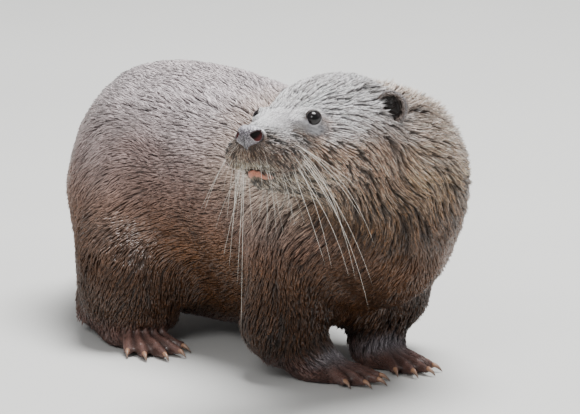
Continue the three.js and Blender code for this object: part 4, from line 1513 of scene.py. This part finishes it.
def tinted(mottle, name, scale, contrast, roughness, change, driest, wettest, bump, specular, film):
    """A finish whose colour is the piece's own tint, mottled and wetted. Returns its nodes too."""
    material, tree, shader = new_material(name)
    group = add_node(tree, "Group", node_tree=mottle)
    feed(tree, group, {
        "Scale": scale, "Contrast": contrast, "Roughness": roughness, "Change": change, "Driest": driest,
        "Wettest": wettest, "Tint": add_node(tree, "Attribute", attribute_name="tint").outputs["Color"],
    })
    relief = add_node(tree, "Bump", {"Height": group.outputs["Height"], "Distance": bump * MM})
    feed(tree, shader, {
        "Base Color": group.outputs["Colour"], "Roughness": group.outputs["Rough"],
        "Coat Weight": group.outputs["Wetness"], "Normal": relief.outputs["Normal"],
        "Specular IOR Level": specular, "Coat Roughness": film,
    })
    return material, tree, shader, group.outputs, relief


def make_materials():
    mottle = make_mottle()
    made = {key: tinted(mottle, *values) for key, values in FINISHES.items()}
    # the nose and lids: pebbled, and wet only where they are painted so
    _, tree, shader, given, relief = made["nose"]
    where = add_node(tree, "TexCoord").outputs["Object"]
    pebbles = add_node(tree, "TexVoronoi", {"Vector": where, "Scale": PEBBLE_SCALE}).outputs["Distance"]
    feed(tree, relief, {"Height": add_math(tree, "SUBTRACT", given["Height"], pebbles)})
    wet = add_node(tree, "Attribute", attribute_name="wet").outputs["Fac"]
    dry = add_math(tree, "ADD", given["Rough"], DRY_ROUGHNESS)
    feed(tree, shader, {
        "Coat Weight": add_math(tree, "MULTIPLY", wet, given["Wetness"]),
        "Roughness": add_math(tree, "MULTIPLY_ADD", wet, -DRY_ROUGHNESS, dry),
    })
    return {key: parts[0] for key, parts in made.items()}


# ---- stage, light and camera

AIM = Vector((0.2449, -0.1740, 0.1665))
AZIMUTH, ELEVATION, DISTANCE = 52, 13, 5.0
LENS = 403.4
FLOOR_SIZE = 60
ROOM_LIGHT, ROOM_STRENGTH = (0.97, 0.98, 1.0, 1), 0.42
LIT = Vector((0.1, -0.05, 0.12))  # where the lamps point
# Each lamp: its place, its width and its power in watts.
LAMPS = {"overhead": ((0.2, 0.5, 3.0), 2.0, 225), "key": ((1.6, -2.4, 2.2), 1.4, 34)}


def make_stage():
    bpy.ops.object.select_all(action="DESELECT")
    bpy.ops.mesh.primitive_plane_add(size=FLOOR_SIZE, location=(0, 0, 0))
    floor = bpy.context.object
    floor.name = floor.data.name = "floor"
    material, tree, shader = new_material("pale floor")
    where = add_node(tree, "TexCoord").outputs["Object"]
    noise = add_node(tree, "TexNoise", {"Vector": where, "Scale": 3}).outputs["Fac"]
    ramp = add_node(tree, "ValToRGB", {"Fac": noise})
    ramp.color_ramp.elements[0].color = (0.60, 0.60, 0.58, 1)
    ramp.color_ramp.elements[1].color = (0.66, 0.66, 0.64, 1)
    feed(tree, shader, {"Base Color": ramp.outputs["Color"], "Roughness": 0.8})
    floor.data.materials.append(material)

    world = bpy.data.worlds.new("soft room")
    bpy.context.scene.world = world
    world.use_nodes = True
    background = world.node_tree.nodes["Background"]
    feed(world.node_tree, background, {"Color": ROOM_LIGHT, "Strength": ROOM_STRENGTH})

    for name, (spot, width, power) in LAMPS.items():
        light = bpy.data.lights.new(name, "AREA")
        light.shape = "DISK"
        light.size = width
        light.energy = power
        lamp = add_object(name, light)
        lamp.location = spot
        lamp.rotation_euler = (LIT - Vector(spot)).to_track_quat("-Z", "Y").to_euler()
        lamp.visible_camera = False


def make_camera():
    camera = bpy.data.cameras.new("camera")
    camera.sensor_width = 36
    camera.lens = LENS
    camera.clip_start = 0.1
    camera.clip_end = 100
    obj = add_object("camera", camera)
    a, e = math.radians(AZIMUTH), math.radians(ELEVATION)
    back = Vector((math.sin(a) * math.cos(e), -math.cos(a) * math.cos(e), math.sin(e)))
    obj.location = AIM + back * DISTANCE
    obj.rotation_euler = back.to_track_quat("Z", "Y").to_euler()
    bpy.context.scene.camera = obj


make_camera()
make_stage()
materials = make_materials()
skin = make_skin()
paint_skin(skin)
select_only(skin)
bpy.ops.object.shade_smooth()
make_coat(skin, materials["coat"])
finish_piece(skin, materials["skin"], "coat", *FLESH)
for name, side in SIDES.items():
    make_eye(name, side, materials["eye"])
    make_lids(name, side, materials["nose"])
    make_ear(name, side, materials["skin"], materials["coat"])
    make_claws(f"forepaw_{name}", materials["claw"])
    make_claws(f"hindpaw_{name}", materials["claw"])
make_nose(materials["nose"])
make_whiskers(materials["whisker"])
